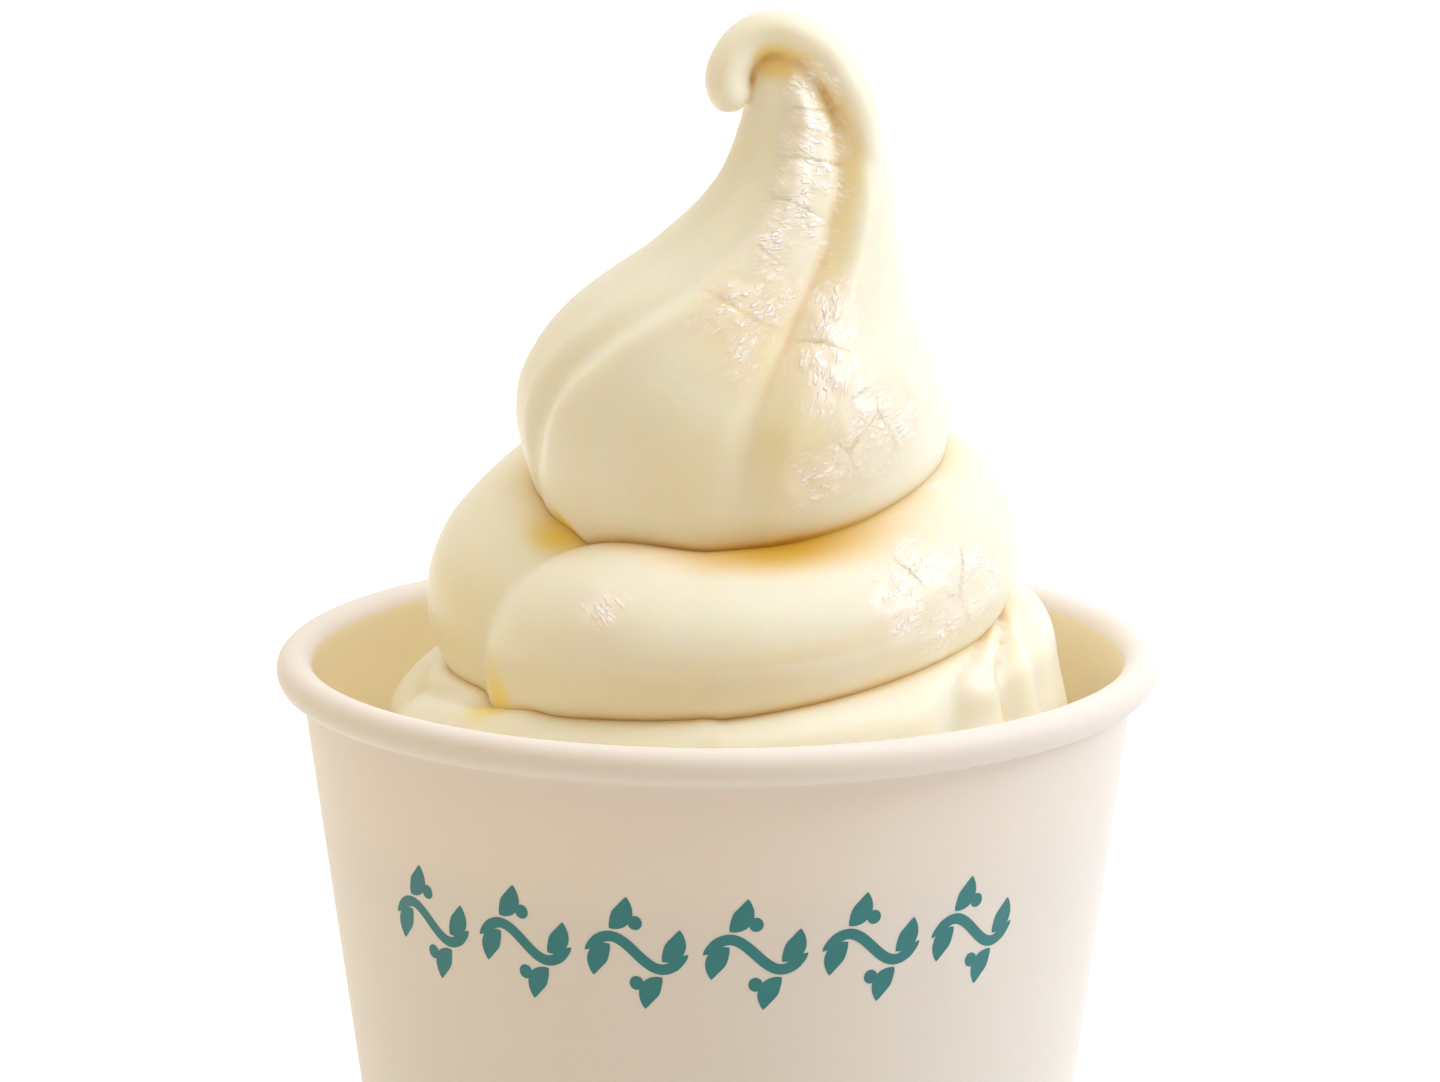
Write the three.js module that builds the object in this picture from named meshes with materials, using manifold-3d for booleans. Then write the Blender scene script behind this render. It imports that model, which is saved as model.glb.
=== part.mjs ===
// A swirl of vanilla soft-serve ice cream piped into a plain paper cup.
// Millimetres, +Z up. The origin is on the table, at the centre of the cup's foot.
// The front of the swirl, from which its curled tip leans to the left, faces -Y.

import * as THREE from 'three';
import { mergeVertices } from 'three/addons/utils/BufferGeometryUtils.js';
import Module from 'manifold-3d';

const wasm = await Module();
wasm.setup();

// ---- driving dimensions of the cup ----
const RIM_RADIUS = 48;
const CUP_HEIGHT = 60;
const ROLL_RADIUS = 1.94;
const WALL_TOP_RADIUS = 45.5;
const FOOT_RADIUS = 38;
const PAPER = 0.45;
const FOOT_HEM_THICKNESS = 1.3;
const FOOT_HEM_HEIGHT = 6.3;
const BASE_DISC_THICKNESS = 0.6;
const GAP = 0.3;

// ---- driving dimensions of the ice cream ----
const FILL_HEIGHT = 44.8;
const LOWER_COIL_HEIGHT = 50;
const LOWER_COIL_TILT = 3.9;
const LOWER_COIL_HIGH_SIDE = 132;
const LOWER_COIL_FAR_SIDE = 75;
const LOWER_COIL_RADIUS = 24.1;
const LOWER_COIL_HALF_WIDTH = 13.3;
const LOWER_COIL_HALF_HEIGHT = 12.9;
const LOWER_COIL_RIDGES = 7;
const LOWER_COIL_RIDGE_DEPTH = 0.035;
const LOWER_COIL_SQUARENESS = 0.8;

// Stations along the middle coil, which climbs out of the lower one at the front left and
// runs once round: angle from the front towards the right in degrees, radius of its path,
// height above the table, half width and half height.
const MIDDLE_COIL = [
  [-72, 22.5, 42, 11, 10],
  [-58, 20, 50.5, 11.3, 10.6],
  [-48, 18.8, 60.6, 11.4, 11.4],
  [-30, 19.2, 65, 12.4, 11.2],
  [0, 20, 65.1, 12.4, 9.8],
  [40, 20.1, 67, 12, 9.9],
  [80, 20.7, 70.3, 12, 10.8],
  [120, 20.5, 73, 12, 11.3],
  [165, 19.8, 74.1, 12, 11.5],
  [210, 19.5, 72.2, 12, 11.8],
  [240, 19.7, 68.4, 12, 11.9],
  [262, 19.9, 65.6, 12, 12],
  [282, 17.8, 62.6, 11.8, 12],
  [302, 13, 59, 11, 12],
];
const MIDDLE_COIL_SPLIT = 7;

// Stations up the tier that stands on the coils: shift to the right, height, radius.
const TIER = [
  [1.8, 71.2, 0.5],
  [1.8, 71.4, 9],
  [1.8, 72.6, 15.4],
  [1.8, 75.3, 19.5],
  [1.7, 80, 22.2],
  [1.6, 86.2, 23.4],
  [1.4, 91.5, 21.9],
  [2.5, 97.9, 18.1],
  [6.4, 104.3, 13.3],
  [9.2, 110.8, 9.6],
  [9.4, 117.2, 7],
  [8.1, 121.4, 5.2],
  [7.4, 124.2, 3.4],
  [7.3, 125.2, 0.5],
];
const TIER_DEPTH = 0.97;

// Stations along the strand that leaves the tier's right side and curls over into the tip:
// right, depth, height, radius.
const CURL = [
  [14.5, 3, 101.5, 1.1],
  [15.6, -1, 109, 1.9],
  [15.6, -2, 114.5, 2.3],
  [14.5, -2, 119.4, 2.4],
  [11.8, -1.8, 124.1, 2.45],
  [8.8, -1.5, 126.3, 2.55],
  [5.5, -1, 126.8, 2.45],
  [2.8, -1.2, 125.5, 2.4],
  [1.2, -2, 123.1, 2.35],
  [1.1, -2.6, 120.9, 2.25],
  [2.4, -2.8, 118.8, 2.1],
];
const CURL_FRONT_STRETCH = 1.35;
const CURL_END_LENGTH = 2.1;

// ---- colours ----
const PAPER_FINISH = { color: 0xf2ebe3, roughness: 0.62, metalness: 0 };
const ICE_CREAM_FINISH = { color: 0xf8edca, roughness: 0.45, metalness: 0 };

const AROUND_CUP = 72;
const RIM_PLANE = CUP_HEIGHT - ROLL_RADIUS;

const radians = THREE.MathUtils.degToRad;
const clamp = THREE.MathUtils.clamp;

/** Outer radius of the cup's wall at a height. */
function wallRadius(z) {
  return FOOT_RADIUS + ((WALL_TOP_RADIUS - FOOT_RADIUS) * z) / RIM_PLANE;
}

/** A solid of revolution about Z from a closed profile of [radius, height] pairs. */
function turned(profile) {
  const points = profile.map(([radius, height]) => new THREE.Vector2(radius, height));
  const geometry = new THREE.LatheGeometry(points, AROUND_CUP);
  geometry.rotateX(Math.PI / 2);
  return geometry;
}

/** A smooth curve through rows of numbers, as a function of its run from 0 to 1. */
function smoothRows(rows) {
  const curves = [];
  for (let column = 0; column < rows[0].length; column += 3) {
    const points = rows.map((row) => new THREE.Vector3(
      row[column],
      row[column + 1] ?? 0,
      row[column + 2] ?? 0,
    ));
    curves.push(new THREE.CatmullRomCurve3(points, false, 'catmullrom', 0.5));
  }
  return (run) => curves.flatMap((curve) => curve.getPoint(clamp(run, 0, 1)).toArray());
}

/** A closed cylinder whose every vertex is moved by place(run, angle, share of radius). */
function bentCylinder(around, along, place) {
  const geometry = new THREE.CylinderGeometry(1, 1, 1, around, along);
  geometry.deleteAttribute('normal');
  geometry.deleteAttribute('uv');
  const position = geometry.getAttribute('position');
  const vertex = new THREE.Vector3();
  for (let i = 0; i < position.count; i += 1) {
    vertex.fromBufferAttribute(position, i);
    const run = 0.5 - vertex.y;
    const angle = Math.atan2(vertex.x, vertex.z);
    const moved = place(run, angle, Math.hypot(vertex.x, vertex.z));
    position.setXYZ(i, moved.x, moved.y, moved.z);
  }
  return mergeVertices(geometry, 1e-4);
}

/** Share of the full section left near a rounded end, at a distance from that end. */
function endRounding(distance, length) {
  const inside = clamp(distance / length, 0, 1);
  return Math.max(Math.sqrt(1 - (1 - inside) ** 2), 0.1);
}

/** The closed solid that an indexed or plain geometry bounds. */
function solid(geometry) {
  const bare = geometry.clone();
  bare.deleteAttribute('normal');
  bare.deleteAttribute('uv');
  const merged = mergeVertices(bare, 1e-4);
  const corners = [];
  const index = merged.getIndex().array;
  for (let i = 0; i < index.length; i += 3) {
    const [a, b, c] = [index[i], index[i + 1], index[i + 2]];
    if (a !== b && b !== c && c !== a) corners.push(a, b, c);
  }
  return new wasm.Manifold(new wasm.Mesh({
    numProp: 3,
    vertProperties: Float32Array.from(merged.getAttribute('position').array),
    triVerts: Uint32Array.from(corners),
  }));
}

/** One geometry from solids that are joined where they meet. */
function joined(solids) {
  const mesh = solids.reduce((sum, next) => sum.add(next)).getMesh();
  const geometry = new THREE.BufferGeometry();
  geometry.setAttribute('position', new THREE.BufferAttribute(mesh.vertProperties, mesh.numProp));
  geometry.setIndex(new THREE.BufferAttribute(mesh.triVerts, 1));
  geometry.computeVertexNormals();
  return geometry;
}

// ---- the cup ----

/** Side wall with the rolled rim at its top and the folded hem at its foot. */
function cupWall() {
  const profile = [
    [FOOT_RADIUS - FOOT_HEM_THICKNESS, 0],
    [FOOT_RADIUS, 0],
  ];
  const rollSteps = 14;
  const rollCentre = RIM_RADIUS - ROLL_RADIUS;
  const meets = (offset) => Math.acos(clamp(offset / ROLL_RADIUS, -1, 1));
  const outside = -meets(WALL_TOP_RADIUS - rollCentre);
  const inside = Math.PI * 2 - meets(WALL_TOP_RADIUS - PAPER - rollCentre);
  for (let i = 0; i <= rollSteps; i += 1) {
    const turn = outside + ((inside - outside) * i) / rollSteps;
    profile.push([
      rollCentre + ROLL_RADIUS * Math.cos(turn),
      RIM_PLANE + ROLL_RADIUS * Math.sin(turn),
    ]);
  }
  profile.push([wallRadius(FOOT_HEM_HEIGHT) - PAPER, FOOT_HEM_HEIGHT]);
  profile.push([wallRadius(FOOT_HEM_HEIGHT) - FOOT_HEM_THICKNESS, FOOT_HEM_HEIGHT]);
  profile.push(profile[0]);
  return turned(profile);
}

/** Bottom disc that lies on the hem, a little above the table. */
function cupBase() {
  const low = FOOT_HEM_HEIGHT + GAP;
  const high = low + BASE_DISC_THICKNESS;
  const edge = wallRadius(low) - PAPER - GAP;
  return turned([[0, low], [edge, low], [edge, high], [0, high]]);
}

// ---- the ice cream ----

/** What fills the cup below the coils, with a core that reaches up between them. */
function fill() {
  const low = FOOT_HEM_HEIGHT + BASE_DISC_THICKNESS + 2 * GAP;
  const clear = (z) => wallRadius(z) - PAPER - GAP;
  return turned([
    [0, low],
    [clear(low), low],
    [clear(FILL_HEIGHT - 2.5), FILL_HEIGHT - 2.5],
    [clear(FILL_HEIGHT) - 1, FILL_HEIGHT],
    [36, FILL_HEIGHT + 1.2],
    [24, FILL_HEIGHT + 1.2],
    [22, 58],
    [20, 68],
    [16, 73],
    [0, 74],
  ]);
}

/** A point on a coil's section: out from the path by its width, up by its height. */
function coilPoint(centre, outward, forward, angle, width, height) {
  const up = new THREE.Vector3().crossVectors(forward, outward);
  return centre.clone()
    .addScaledVector(outward, Math.sin(angle) * width)
    .addScaledVector(up, Math.cos(angle) * height);
}

/** Direction from the cup's axis at an angle from the front towards the right. */
function bearing(degrees) {
  return new THREE.Vector3(Math.sin(radians(degrees)), -Math.cos(radians(degrees)), 0);
}

/** A section's sine or cosine, pushed out to make the section squarer than an ellipse. */
function squared(share) {
  return Math.sign(share) * Math.abs(share) ** LOWER_COIL_SQUARENESS;
}

/** The lowest coil, a closed ring that is higher at the back and ridged lengthwise. */
function lowerCoil() {
  const geometry = new THREE.TorusGeometry(2, 1, 24, 64);
  geometry.deleteAttribute('normal');
  geometry.deleteAttribute('uv');
  const position = geometry.getAttribute('position');
  for (let i = 0; i < position.count; i += 1) {
    const x = position.getX(i);
    const y = position.getY(i);
    const degrees = THREE.MathUtils.radToDeg(Math.atan2(x, -y));
    const around = Math.atan2(position.getZ(i), Math.hypot(x, y) - 2);
    const ridge = 1 + LOWER_COIL_RIDGE_DEPTH * Math.cos(LOWER_COIL_RIDGES * around + 0.8 * radians(degrees));
    const reach = Math.cos(radians(degrees - LOWER_COIL_FAR_SIDE));
    const rise = Math.cos(radians(degrees - LOWER_COIL_HIGH_SIDE));
    const width = LOWER_COIL_HALF_WIDTH * ridge * squared(Math.cos(around));
    const height = (LOWER_COIL_HALF_HEIGHT + rise + 0.6 * reach) * ridge * squared(Math.sin(around));
    const point = bearing(degrees).multiplyScalar(LOWER_COIL_RADIUS + 0.7 * reach + width);
    point.z = LOWER_COIL_HEIGHT + LOWER_COIL_TILT * rise + height;
    position.setXYZ(i, point.x, point.y, point.z);
  }
  return mergeVertices(geometry, 1e-4);
}

/** Part of the middle coil, between two of its stations. */
function middleCoil(firstStation, lastStation) {
  const rows = smoothRows(MIDDLE_COIL);
  const centreAt = (run) => {
    const [degrees, radius, height] = rows(run);
    return bearing(degrees).multiplyScalar(radius).setZ(height);
  };
  const last = MIDDLE_COIL.length - 1;
  const stepsPerStation = 4;
  const along = (lastStation - firstStation) * stepsPerStation;
  return bentCylinder(24, along, (share, angle, radiusShare) => {
    const run = (firstStation + (lastStation - firstStation) * share) / last;
    const [degrees, , , width, height] = rows(run);
    const centre = centreAt(run);
    const step = 0.002;
    const ahead = centreAt(Math.min(run + step, 1));
    const forward = ahead.sub(centreAt(Math.max(run - step, 0))).normalize();
    const outward = bearing(degrees);
    outward.addScaledVector(forward, -outward.dot(forward)).normalize();
    return coilPoint(centre, outward, forward, angle, radiusShare * width, radiusShare * height);
  });
}

/** A rule that runs through [height, value] pairs in straight lines. */
function between(pairs, height) {
  if (height <= pairs[0][0]) return pairs[0][1];
  for (let i = 1; i < pairs.length; i += 1) {
    const [low, from] = pairs[i - 1];
    const [high, to] = pairs[i];
    if (height <= high) return from + ((to - from) * (height - low)) / (high - low);
  }
  return pairs[pairs.length - 1][1];
}

/** Share by which the tier's radius is pressed in, at a height and an angle from its front. */
function tierGroove(height, degrees) {
  const away = (from) => THREE.MathUtils.euclideanModulo(degrees - from + 180, 360) - 180;
  const creaseAngle = between([[73, -72], [85, -60], [93, -38], [100, -14], [130, -13]], height);
  const creaseDepth = between([[71, 0], [79, 0.08], [85, 0.12], [105, 0.17], [118, 0.17], [125, 0.1]], height);
  const creaseSpread = between([[78, 15], [93, 24], [108, 34]], height);
  const fromCrease = away(creaseAngle);
  const crease = creaseDepth * Math.exp(-((fromCrease / (fromCrease < 0 ? creaseSpread : 5)) ** 2));
  const depth = between([[71, 0], [81, 0.06], [96, 0.16], [106, 0.2], [118, 0.2], [125, 0.1]], height);
  const valleyAngle = between([[73, 2], [94, 22], [103, 31], [115, 30], [128, 24]], height);
  const valley = 1.15 * depth * Math.exp(-((Math.abs(away(valleyAngle)) / 14) ** 2.6));
  const twist = between([[73, 0], [103, 35], [118, 45]], height);
  const others = [-135, -205, -268].map((angle) => Math.exp(-((away(angle + twist) / 17) ** 2)));
  return crease + valley + 0.8 * depth * Math.max(...others);
}

/** The cone-shaped tier, grooved lengthwise by the nozzle. */
function tier() {
  const rows = smoothRows(TIER);
  return bentCylinder(60, 40, (share, angle, radiusShare) => {
    const [shift, height, radius] = rows(1 - share);
    const reach = radiusShare * radius * (1 - tierGroove(height, THREE.MathUtils.radToDeg(angle)));
    return new THREE.Vector3(shift + reach * Math.sin(angle), -reach * TIER_DEPTH * Math.cos(angle), height);
  });
}

/** The strand that curls over to the left and ends in a rounded knob against the neck. */
function curl() {
  const rows = smoothRows(CURL);
  const path = new THREE.CatmullRomCurve3(
    CURL.map(([x, y, z]) => new THREE.Vector3(x, y, z)),
    false,
    'catmullrom',
    0.5,
  );
  const length = path.getLength();
  return bentCylinder(14, 32, (run, angle, radiusShare) => {
    const radius = rows(run)[3];
    const centre = path.getPoint(run);
    const forward = path.getTangent(run);
    const right = new THREE.Vector3(0, 1, 0).cross(forward).normalize();
    const front = new THREE.Vector3().crossVectors(forward, right);
    const size = radiusShare * radius * endRounding((1 - run) * length, CURL_END_LENGTH);
    return centre
      .addScaledVector(right, Math.sin(angle) * size)
      .addScaledVector(front, Math.cos(angle) * size * CURL_FRONT_STRETCH);
  });
}

/** The whole portion as one solid. */
function iceCream() {
  return joined([
    fill(),
    lowerCoil(),
    middleCoil(0, MIDDLE_COIL_SPLIT),
    middleCoil(MIDDLE_COIL_SPLIT, MIDDLE_COIL.length - 1),
    tier(),
    curl(),
  ].map(solid));
}

/** A named mesh in one finish. */
function piece(name, geometry, finish) {
  const mesh = new THREE.Mesh(geometry, new THREE.MeshStandardMaterial(finish));
  mesh.name = name;
  return mesh;
}

const cupOfIceCream = new THREE.Group();
cupOfIceCream.add(
  piece('cup_wall', cupWall(), PAPER_FINISH),
  piece('cup_base', cupBase(), PAPER_FINISH),
  piece('ice_cream', iceCream(), ICE_CREAM_FINISH),
);

export default cupOfIceCream;
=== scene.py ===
"""A swirl of vanilla soft-serve ice cream in a printed paper cup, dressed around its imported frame."""

import itertools
import math

import bmesh
import bpy
import numpy as np
from bpy.props import FloatProperty, FloatVectorProperty, IntProperty, PointerProperty
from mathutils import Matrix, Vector, kdtree


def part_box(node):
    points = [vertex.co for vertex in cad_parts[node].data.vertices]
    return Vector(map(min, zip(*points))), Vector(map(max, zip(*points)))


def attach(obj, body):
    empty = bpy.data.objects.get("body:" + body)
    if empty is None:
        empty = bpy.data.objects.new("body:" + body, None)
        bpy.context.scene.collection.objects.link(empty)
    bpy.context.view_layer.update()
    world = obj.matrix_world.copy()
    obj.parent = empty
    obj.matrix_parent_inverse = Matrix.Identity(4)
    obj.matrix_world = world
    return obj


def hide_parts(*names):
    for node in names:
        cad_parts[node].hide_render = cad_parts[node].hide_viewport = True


bl_info = {
    "name": "Cup of vanilla soft serve",
    "version": (1, 0, 0),
    "blender": (4, 5, 0),
    "location": "3D View > Sidebar > Soft Serve",
    "description": "Builds a swirl of vanilla soft-serve ice cream in a paper cup",
    "category": "Add Mesh",
}

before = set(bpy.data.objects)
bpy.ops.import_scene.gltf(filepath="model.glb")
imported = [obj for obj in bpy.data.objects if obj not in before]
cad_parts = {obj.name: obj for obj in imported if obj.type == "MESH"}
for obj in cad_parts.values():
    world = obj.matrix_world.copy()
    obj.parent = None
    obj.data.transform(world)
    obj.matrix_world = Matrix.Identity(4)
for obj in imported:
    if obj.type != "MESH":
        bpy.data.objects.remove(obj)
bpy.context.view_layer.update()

MM = 0.001
BODY = "root"

# ---- sizes of the cup, in millimetres, from the frame where it has them ----
WALL_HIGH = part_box("cup_wall")[1]
# The rim stays a hair inside the frame's box.
HAIR = 0.005
RIM_RADIUS = WALL_HIGH.x / MM - HAIR
CUP_HEIGHT = round(WALL_HIGH.z / MM, 1)
ROLL_RADIUS = 1.94
RIM_PLANE = CUP_HEIGHT - ROLL_RADIUS
ROLL_OVERHANG = 2.5
WALL_TOP_RADIUS = RIM_RADIUS - ROLL_OVERHANG
FOOT_RADIUS = 38.0
PAPER = 0.45
SEAM_STEP = 0.35
HEM_THICKNESS = 1.3
HEM_HEIGHT = 6.3
BOTTOM_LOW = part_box("cup_base")[0].z / MM
BOTTOM_THICKNESS = 0.6
FILL_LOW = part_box("ice_cream")[0].z / MM
TIP_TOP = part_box("ice_cream")[1].z / MM
GAP = 0.3

# ---- shape of the ice cream, in millimetres and degrees from the front towards the right ----
FILL_HEIGHT = 44.8
# The core of ice cream between the coils, as radius and height pairs.
CORE = [(24, FILL_HEIGHT + 1.2), (22, 58), (20, 68), (16, 73)]
SWIRL_FOOT = 40.0
LOWER_COIL_HEIGHT = 50.0
LOWER_COIL_TILT = 3.9
LOWER_COIL_HIGH_SIDE = 132.0
LOWER_COIL_FAR_SIDE = 75.0
LOWER_COIL_RADIUS = 24.1
LOWER_COIL_HALF_WIDTH = 13.3
LOWER_COIL_HALF_HEIGHT = 12.9
LOWER_COIL_RIDGES = 7
LOWER_COIL_RIDGE_DEPTH = 0.035
LOWER_COIL_RIDGE_TWIST = 0.8
LOWER_COIL_SQUARENESS = 0.8
LOWER_COIL_FAR_SHIFT = 0.7
LOWER_COIL_FAR_RISE = 0.6
# Folds across the lower coil: angle from the front, depth in millimetres, half width in degrees. Over
# the coil's top they lean to the right, by some degrees.
LOWER_COIL_FOLD_LEAN = 17
LOWER_COIL_FOLDS = [(60, 2.6, 3.6), (43, 1.2, 3), (71, 1.1, 2.6), (-88, 1.2, 6), (168, 1.8, 6), (214, 1.4, 5)]

# Stations along the middle coil: angle, radius of its path, height, half width, half height.
MIDDLE_COIL = [
    (-43, 18, 44, 8, 9),
    (-46, 18.2, 52.5, 9.6, 10),
    (-47, 18.7, 60.8, 11.3, 11),
    (-30, 19.2, 64.3, 12.4, 10.4),
    (0, 20, 64.6, 12.4, 9.7),
    (40, 20.1, 66.6, 12, 9.8),
    (80, 20.7, 70.3, 12, 10.8),
    (120, 20.5, 73, 12, 11.3),
    (165, 19.8, 74.1, 12, 11.5),
    (210, 19.5, 72.2, 12, 11.8),
    (240, 19.7, 68.4, 12, 11.9),
    (262, 19.9, 65.6, 12, 12),
    (282, 17.8, 62.6, 11.8, 12),
    (302, 13, 59, 11, 12),
]

# Stations up the tier: shift to the right, height, radius.
TIER = [
    (1.8, 70.6, 0.5),
    (1.8, 70.8, 9),
    (1.8, 72, 16),
    (1.8, 74.9, 20.2),
    (1.7, 80, 22.4),
    (1.6, 86.2, 23.4),
    (1.4, 91.5, 21.9),
    (2.5, 97.9, 18.1),
    (6.4, 104.3, 13.3),
    (9.2, 110.8, 9.6),
    (9.4, 117.2, 7),
    (8.1, 121.4, 5.2),
    (7.4, 124.2, 3.4),
    (7.3, 125.2, 0.5),
]
# How deep the tier is from front to back, as a share of its width.
TIER_DEPTH = 0.97
# The second groove at the tier's back: its angle at the foot, half width, and its turn with height.
BACK_GROOVE_ANGLE = -205
BACK_GROOVE_SPREAD = 16
BACK_GROOVE_TURN = ((73, 103, 118), (0, 35, 45))

# The tier's front as the nozzle left it, at a row of heights: angles of the middle lobe's left edge,
# of the valley's left edge and of the crest beside it, then shares of the radius pressed in.
TIER_MARK_HEIGHTS = (72, 78, 83, 88, 92.5, 96, 100, 104, 108, 113, 118, 124)
TIER_MARK_ANGLES = (
    (-78, -72, -64, -58, -50, -40, -27, -20, -14, -14, -6, 0),
    (-6, -6, -5, -1, 6, 13, 19, 21, 21, 22, 29, 33),
    (12, 12, 13, 17, 23, 30, 36, 41, 44, 50, 56, 62),
)
TIER_PRESSED = (
    (0, 0.01, 0.04, 0.07, 0.1, 0.12, 0.14, 0.15, 0.15, 0.15, 0.14, 0.08),
    (0, 0.01, 0.02, 0.03, 0.04, 0.06, 0.09, 0.13, 0.16, 0.17, 0.17, 0.1),
    (0, 0.03, 0.07, 0.1, 0.12, 0.12, 0.12, 0.13, 0.14, 0.14, 0.14, 0.08),
    (0, 0.01, 0.02, 0.03, 0.03, 0.04, 0.05, 0.07, 0.09, 0.11, 0.12, 0.06),
    (0, 0.03, 0.06, 0.09, 0.11, 0.13, 0.14, 0.15, 0.17, 0.18, 0.18, 0.1),
    (0, 0.04, 0.08, 0.12, 0.15, 0.18, 0.21, 0.25, 0.29, 0.32, 0.31, 0.16),
)

# Stations along the curled tip: right, depth, height, radius.
CURL = [
    (13.2, -7, 101.5, 1.4),
    (15.2, -3.6, 108.5, 1.8),
    (15.6, -2.6, 114.5, 1.95),
    (14.5, -2, 119.4, 2.35),
    (11.8, -1.8, 124.1, 2.45),
    (8.8, -1.5, 126.3, 2.55),
    (5.5, -1, 126.8, 2.45),
    (2.8, -1.2, 125.5, 2.4),
    (1.2, -2, 123.1, 2.35),
    (1.1, -2.6, 120.9, 2.25),
    (2.4, -2.8, 118.8, 2.1),
]
CURL_FRONT_STRETCH = 1.35
CURL_END_LENGTH = 2.1

# The middle coil's ends run into each other, so it is made of two tubes, split here.
MIDDLE_COIL_SPLIT = 7 / (len(MIDDLE_COIL) - 1)

# Where the curled strand leaves the tier, and how near it the joint is smoothed fully and not at all.
STRAND_ROOT = (16.5, 1.5, 108.0)
STRAND_ROOT_REACH = (4, 9)

# ---- the printed sprig, in millimetres ----
INK_PROUD = 0.03
SPRIG_LENGTH = 10.8
SPRIG_WAVE = 1.7
LEAF_LENGTH = 4.0
LEAF_HALF_WIDTH = 1.05
LEAF_GAP = 0.3
BERRY_RADIUS = 0.75
BERRY_HEIGHT = 3.3

# ---- the studio, in millimetres ----
FLOOR_REACH = 9000.0
LIGHT_AIM_HEIGHT = 75.0
AIR_FRONT = "#CAB8A0"
AIR_LEFT = "#F7EACF"

# ---- the camera: the photograph's frame, and the lens and place that give its perspective ----
PHOTO_WIDTH, PHOTO_HEIGHT = 1440, 1082
PHOTO_FOCAL = 5030.0
RIM_CENTRE_IN_PHOTO = (717.5, 660.3)
SENSOR_WIDTH = 36.0
CAMERA_DISTANCE = 549.0
CAMERA_ELEVATION = 13.5


# ======================= small tools =======================


def linear(hex_text):
    """An sRGB hex colour as linear red, green and blue."""
    parts = [int(hex_text[i:i + 2], 16) / 255 for i in (1, 3, 5)]
    return tuple(c / 12.92 if c <= 0.04045 else ((c + 0.055) / 1.055) ** 2.4 for c in parts)


def add_node(tree, kind, settings=None, inputs=None):
    """Adds a node with its settings, and its inputs by name or number, each a value or a link."""
    node = tree.nodes.new(kind)
    for name, value in (settings or {}).items():
        setattr(node, name, value)
    for key, value in (inputs or {}).items():
        if isinstance(value, bpy.types.NodeSocket):
            tree.links.new(value, node.inputs[key])
        else:
            node.inputs[key].default_value = value
    return node


def new_material(name):
    """A material with an empty node tree."""
    material = bpy.data.materials.new(name)
    material.use_nodes = True
    material.node_tree.nodes.clear()
    return material


def mesh_object(name, points, faces):
    """An object whose mesh has these points, in millimetres, at its place in the frame."""
    mesh = bpy.data.meshes.new(name)
    mesh.from_pydata((np.asarray(points) * MM).tolist(), [], faces)
    mesh.validate()
    obj = bpy.data.objects.new(name, mesh)
    bpy.context.scene.collection.objects.link(obj)
    return obj


def settled(obj):
    """Turns an object's modifiers into plain mesh."""
    depsgraph = bpy.context.evaluated_depsgraph_get()
    mesh = bpy.data.meshes.new_from_object(obj.evaluated_get(depsgraph))
    obj.modifiers.clear()
    old = obj.data
    obj.data = mesh
    mesh.name = obj.name
    bpy.data.meshes.remove(old)
    return obj


def joined(name, objects):
    """One object with the meshes of several, which are removed."""
    whole = bmesh.new()
    for obj in objects:
        whole.from_mesh(obj.data)
    mesh = bpy.data.meshes.new(name)
    whole.to_mesh(mesh)
    whole.free()
    for material in objects[0].data.materials:
        mesh.materials.append(material)
    for obj in objects:
        bpy.data.objects.remove(obj)
    obj = bpy.data.objects.new(name, mesh)
    bpy.context.scene.collection.objects.link(obj)
    return obj


def outward(obj):
    """Merges doubled points and turns every face outwards."""
    shell = bmesh.new()
    shell.from_mesh(obj.data)
    bmesh.ops.remove_doubles(shell, verts=shell.verts, dist=0.002 * MM)
    bmesh.ops.recalc_face_normals(shell, faces=shell.faces)
    shell.to_mesh(obj.data)
    shell.free()


def smooth_shaded(obj, sharp_degrees=None):
    """Shades a piece smooth, but for the edges sharper than an angle."""
    obj.data.polygons.foreach_set("use_smooth", [True] * len(obj.data.polygons))
    if sharp_degrees is not None:
        obj.data.set_sharp_from_angle(angle=math.radians(sharp_degrees))
    obj.data.update()


def positions(mesh):
    """A mesh's points in millimetres, as rows."""
    flat = np.empty(len(mesh.vertices) * 3)
    mesh.vertices.foreach_get("co", flat)
    return flat.reshape(-1, 3) / MM


def move_points(mesh, points):
    """Puts a mesh's points at these places, in millimetres."""
    mesh.vertices.foreach_set("co", (points * MM).ravel())
    mesh.update()


def paint(mesh, name, values):
    """Stores a number for each point under an attribute's name."""
    attribute = mesh.attributes.new(name, "FLOAT", "POINT")
    attribute.data.foreach_set("value", np.asarray(values, dtype=np.float32))


def soft_noise(points, size, seed):
    """A smooth random field with features of a size, from -1 to 1."""
    side = 48
    lattice = np.random.default_rng(seed).uniform(-1, 1, (side, side, side))
    cell = points / size + side
    low = np.floor(cell).astype(int)
    share = cell - low
    share = share * share * (3 - 2 * share)
    total = np.zeros(len(points))
    for corner in itertools.product((0, 1), repeat=3):
        weight = np.prod(np.where(corner, share, 1 - share), axis=1)
        index = (low + corner) % side
        total += weight * lattice[index[:, 0], index[:, 1], index[:, 2]]
    return total


def smooth_step(low, high, value):
    """A smooth rise from 0 at low to 1 at high."""
    share = np.clip((value - low) / (high - low), 0, 1)
    return share * share * (3 - 2 * share)


# ======================= shape rules of the ice cream =======================


def bearing(degrees):
    """Unit directions from the cup's axis at angles from the front."""
    turn = np.radians(degrees)
    return np.stack([np.sin(turn), -np.cos(turn), np.zeros_like(turn)], axis=-1)


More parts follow.
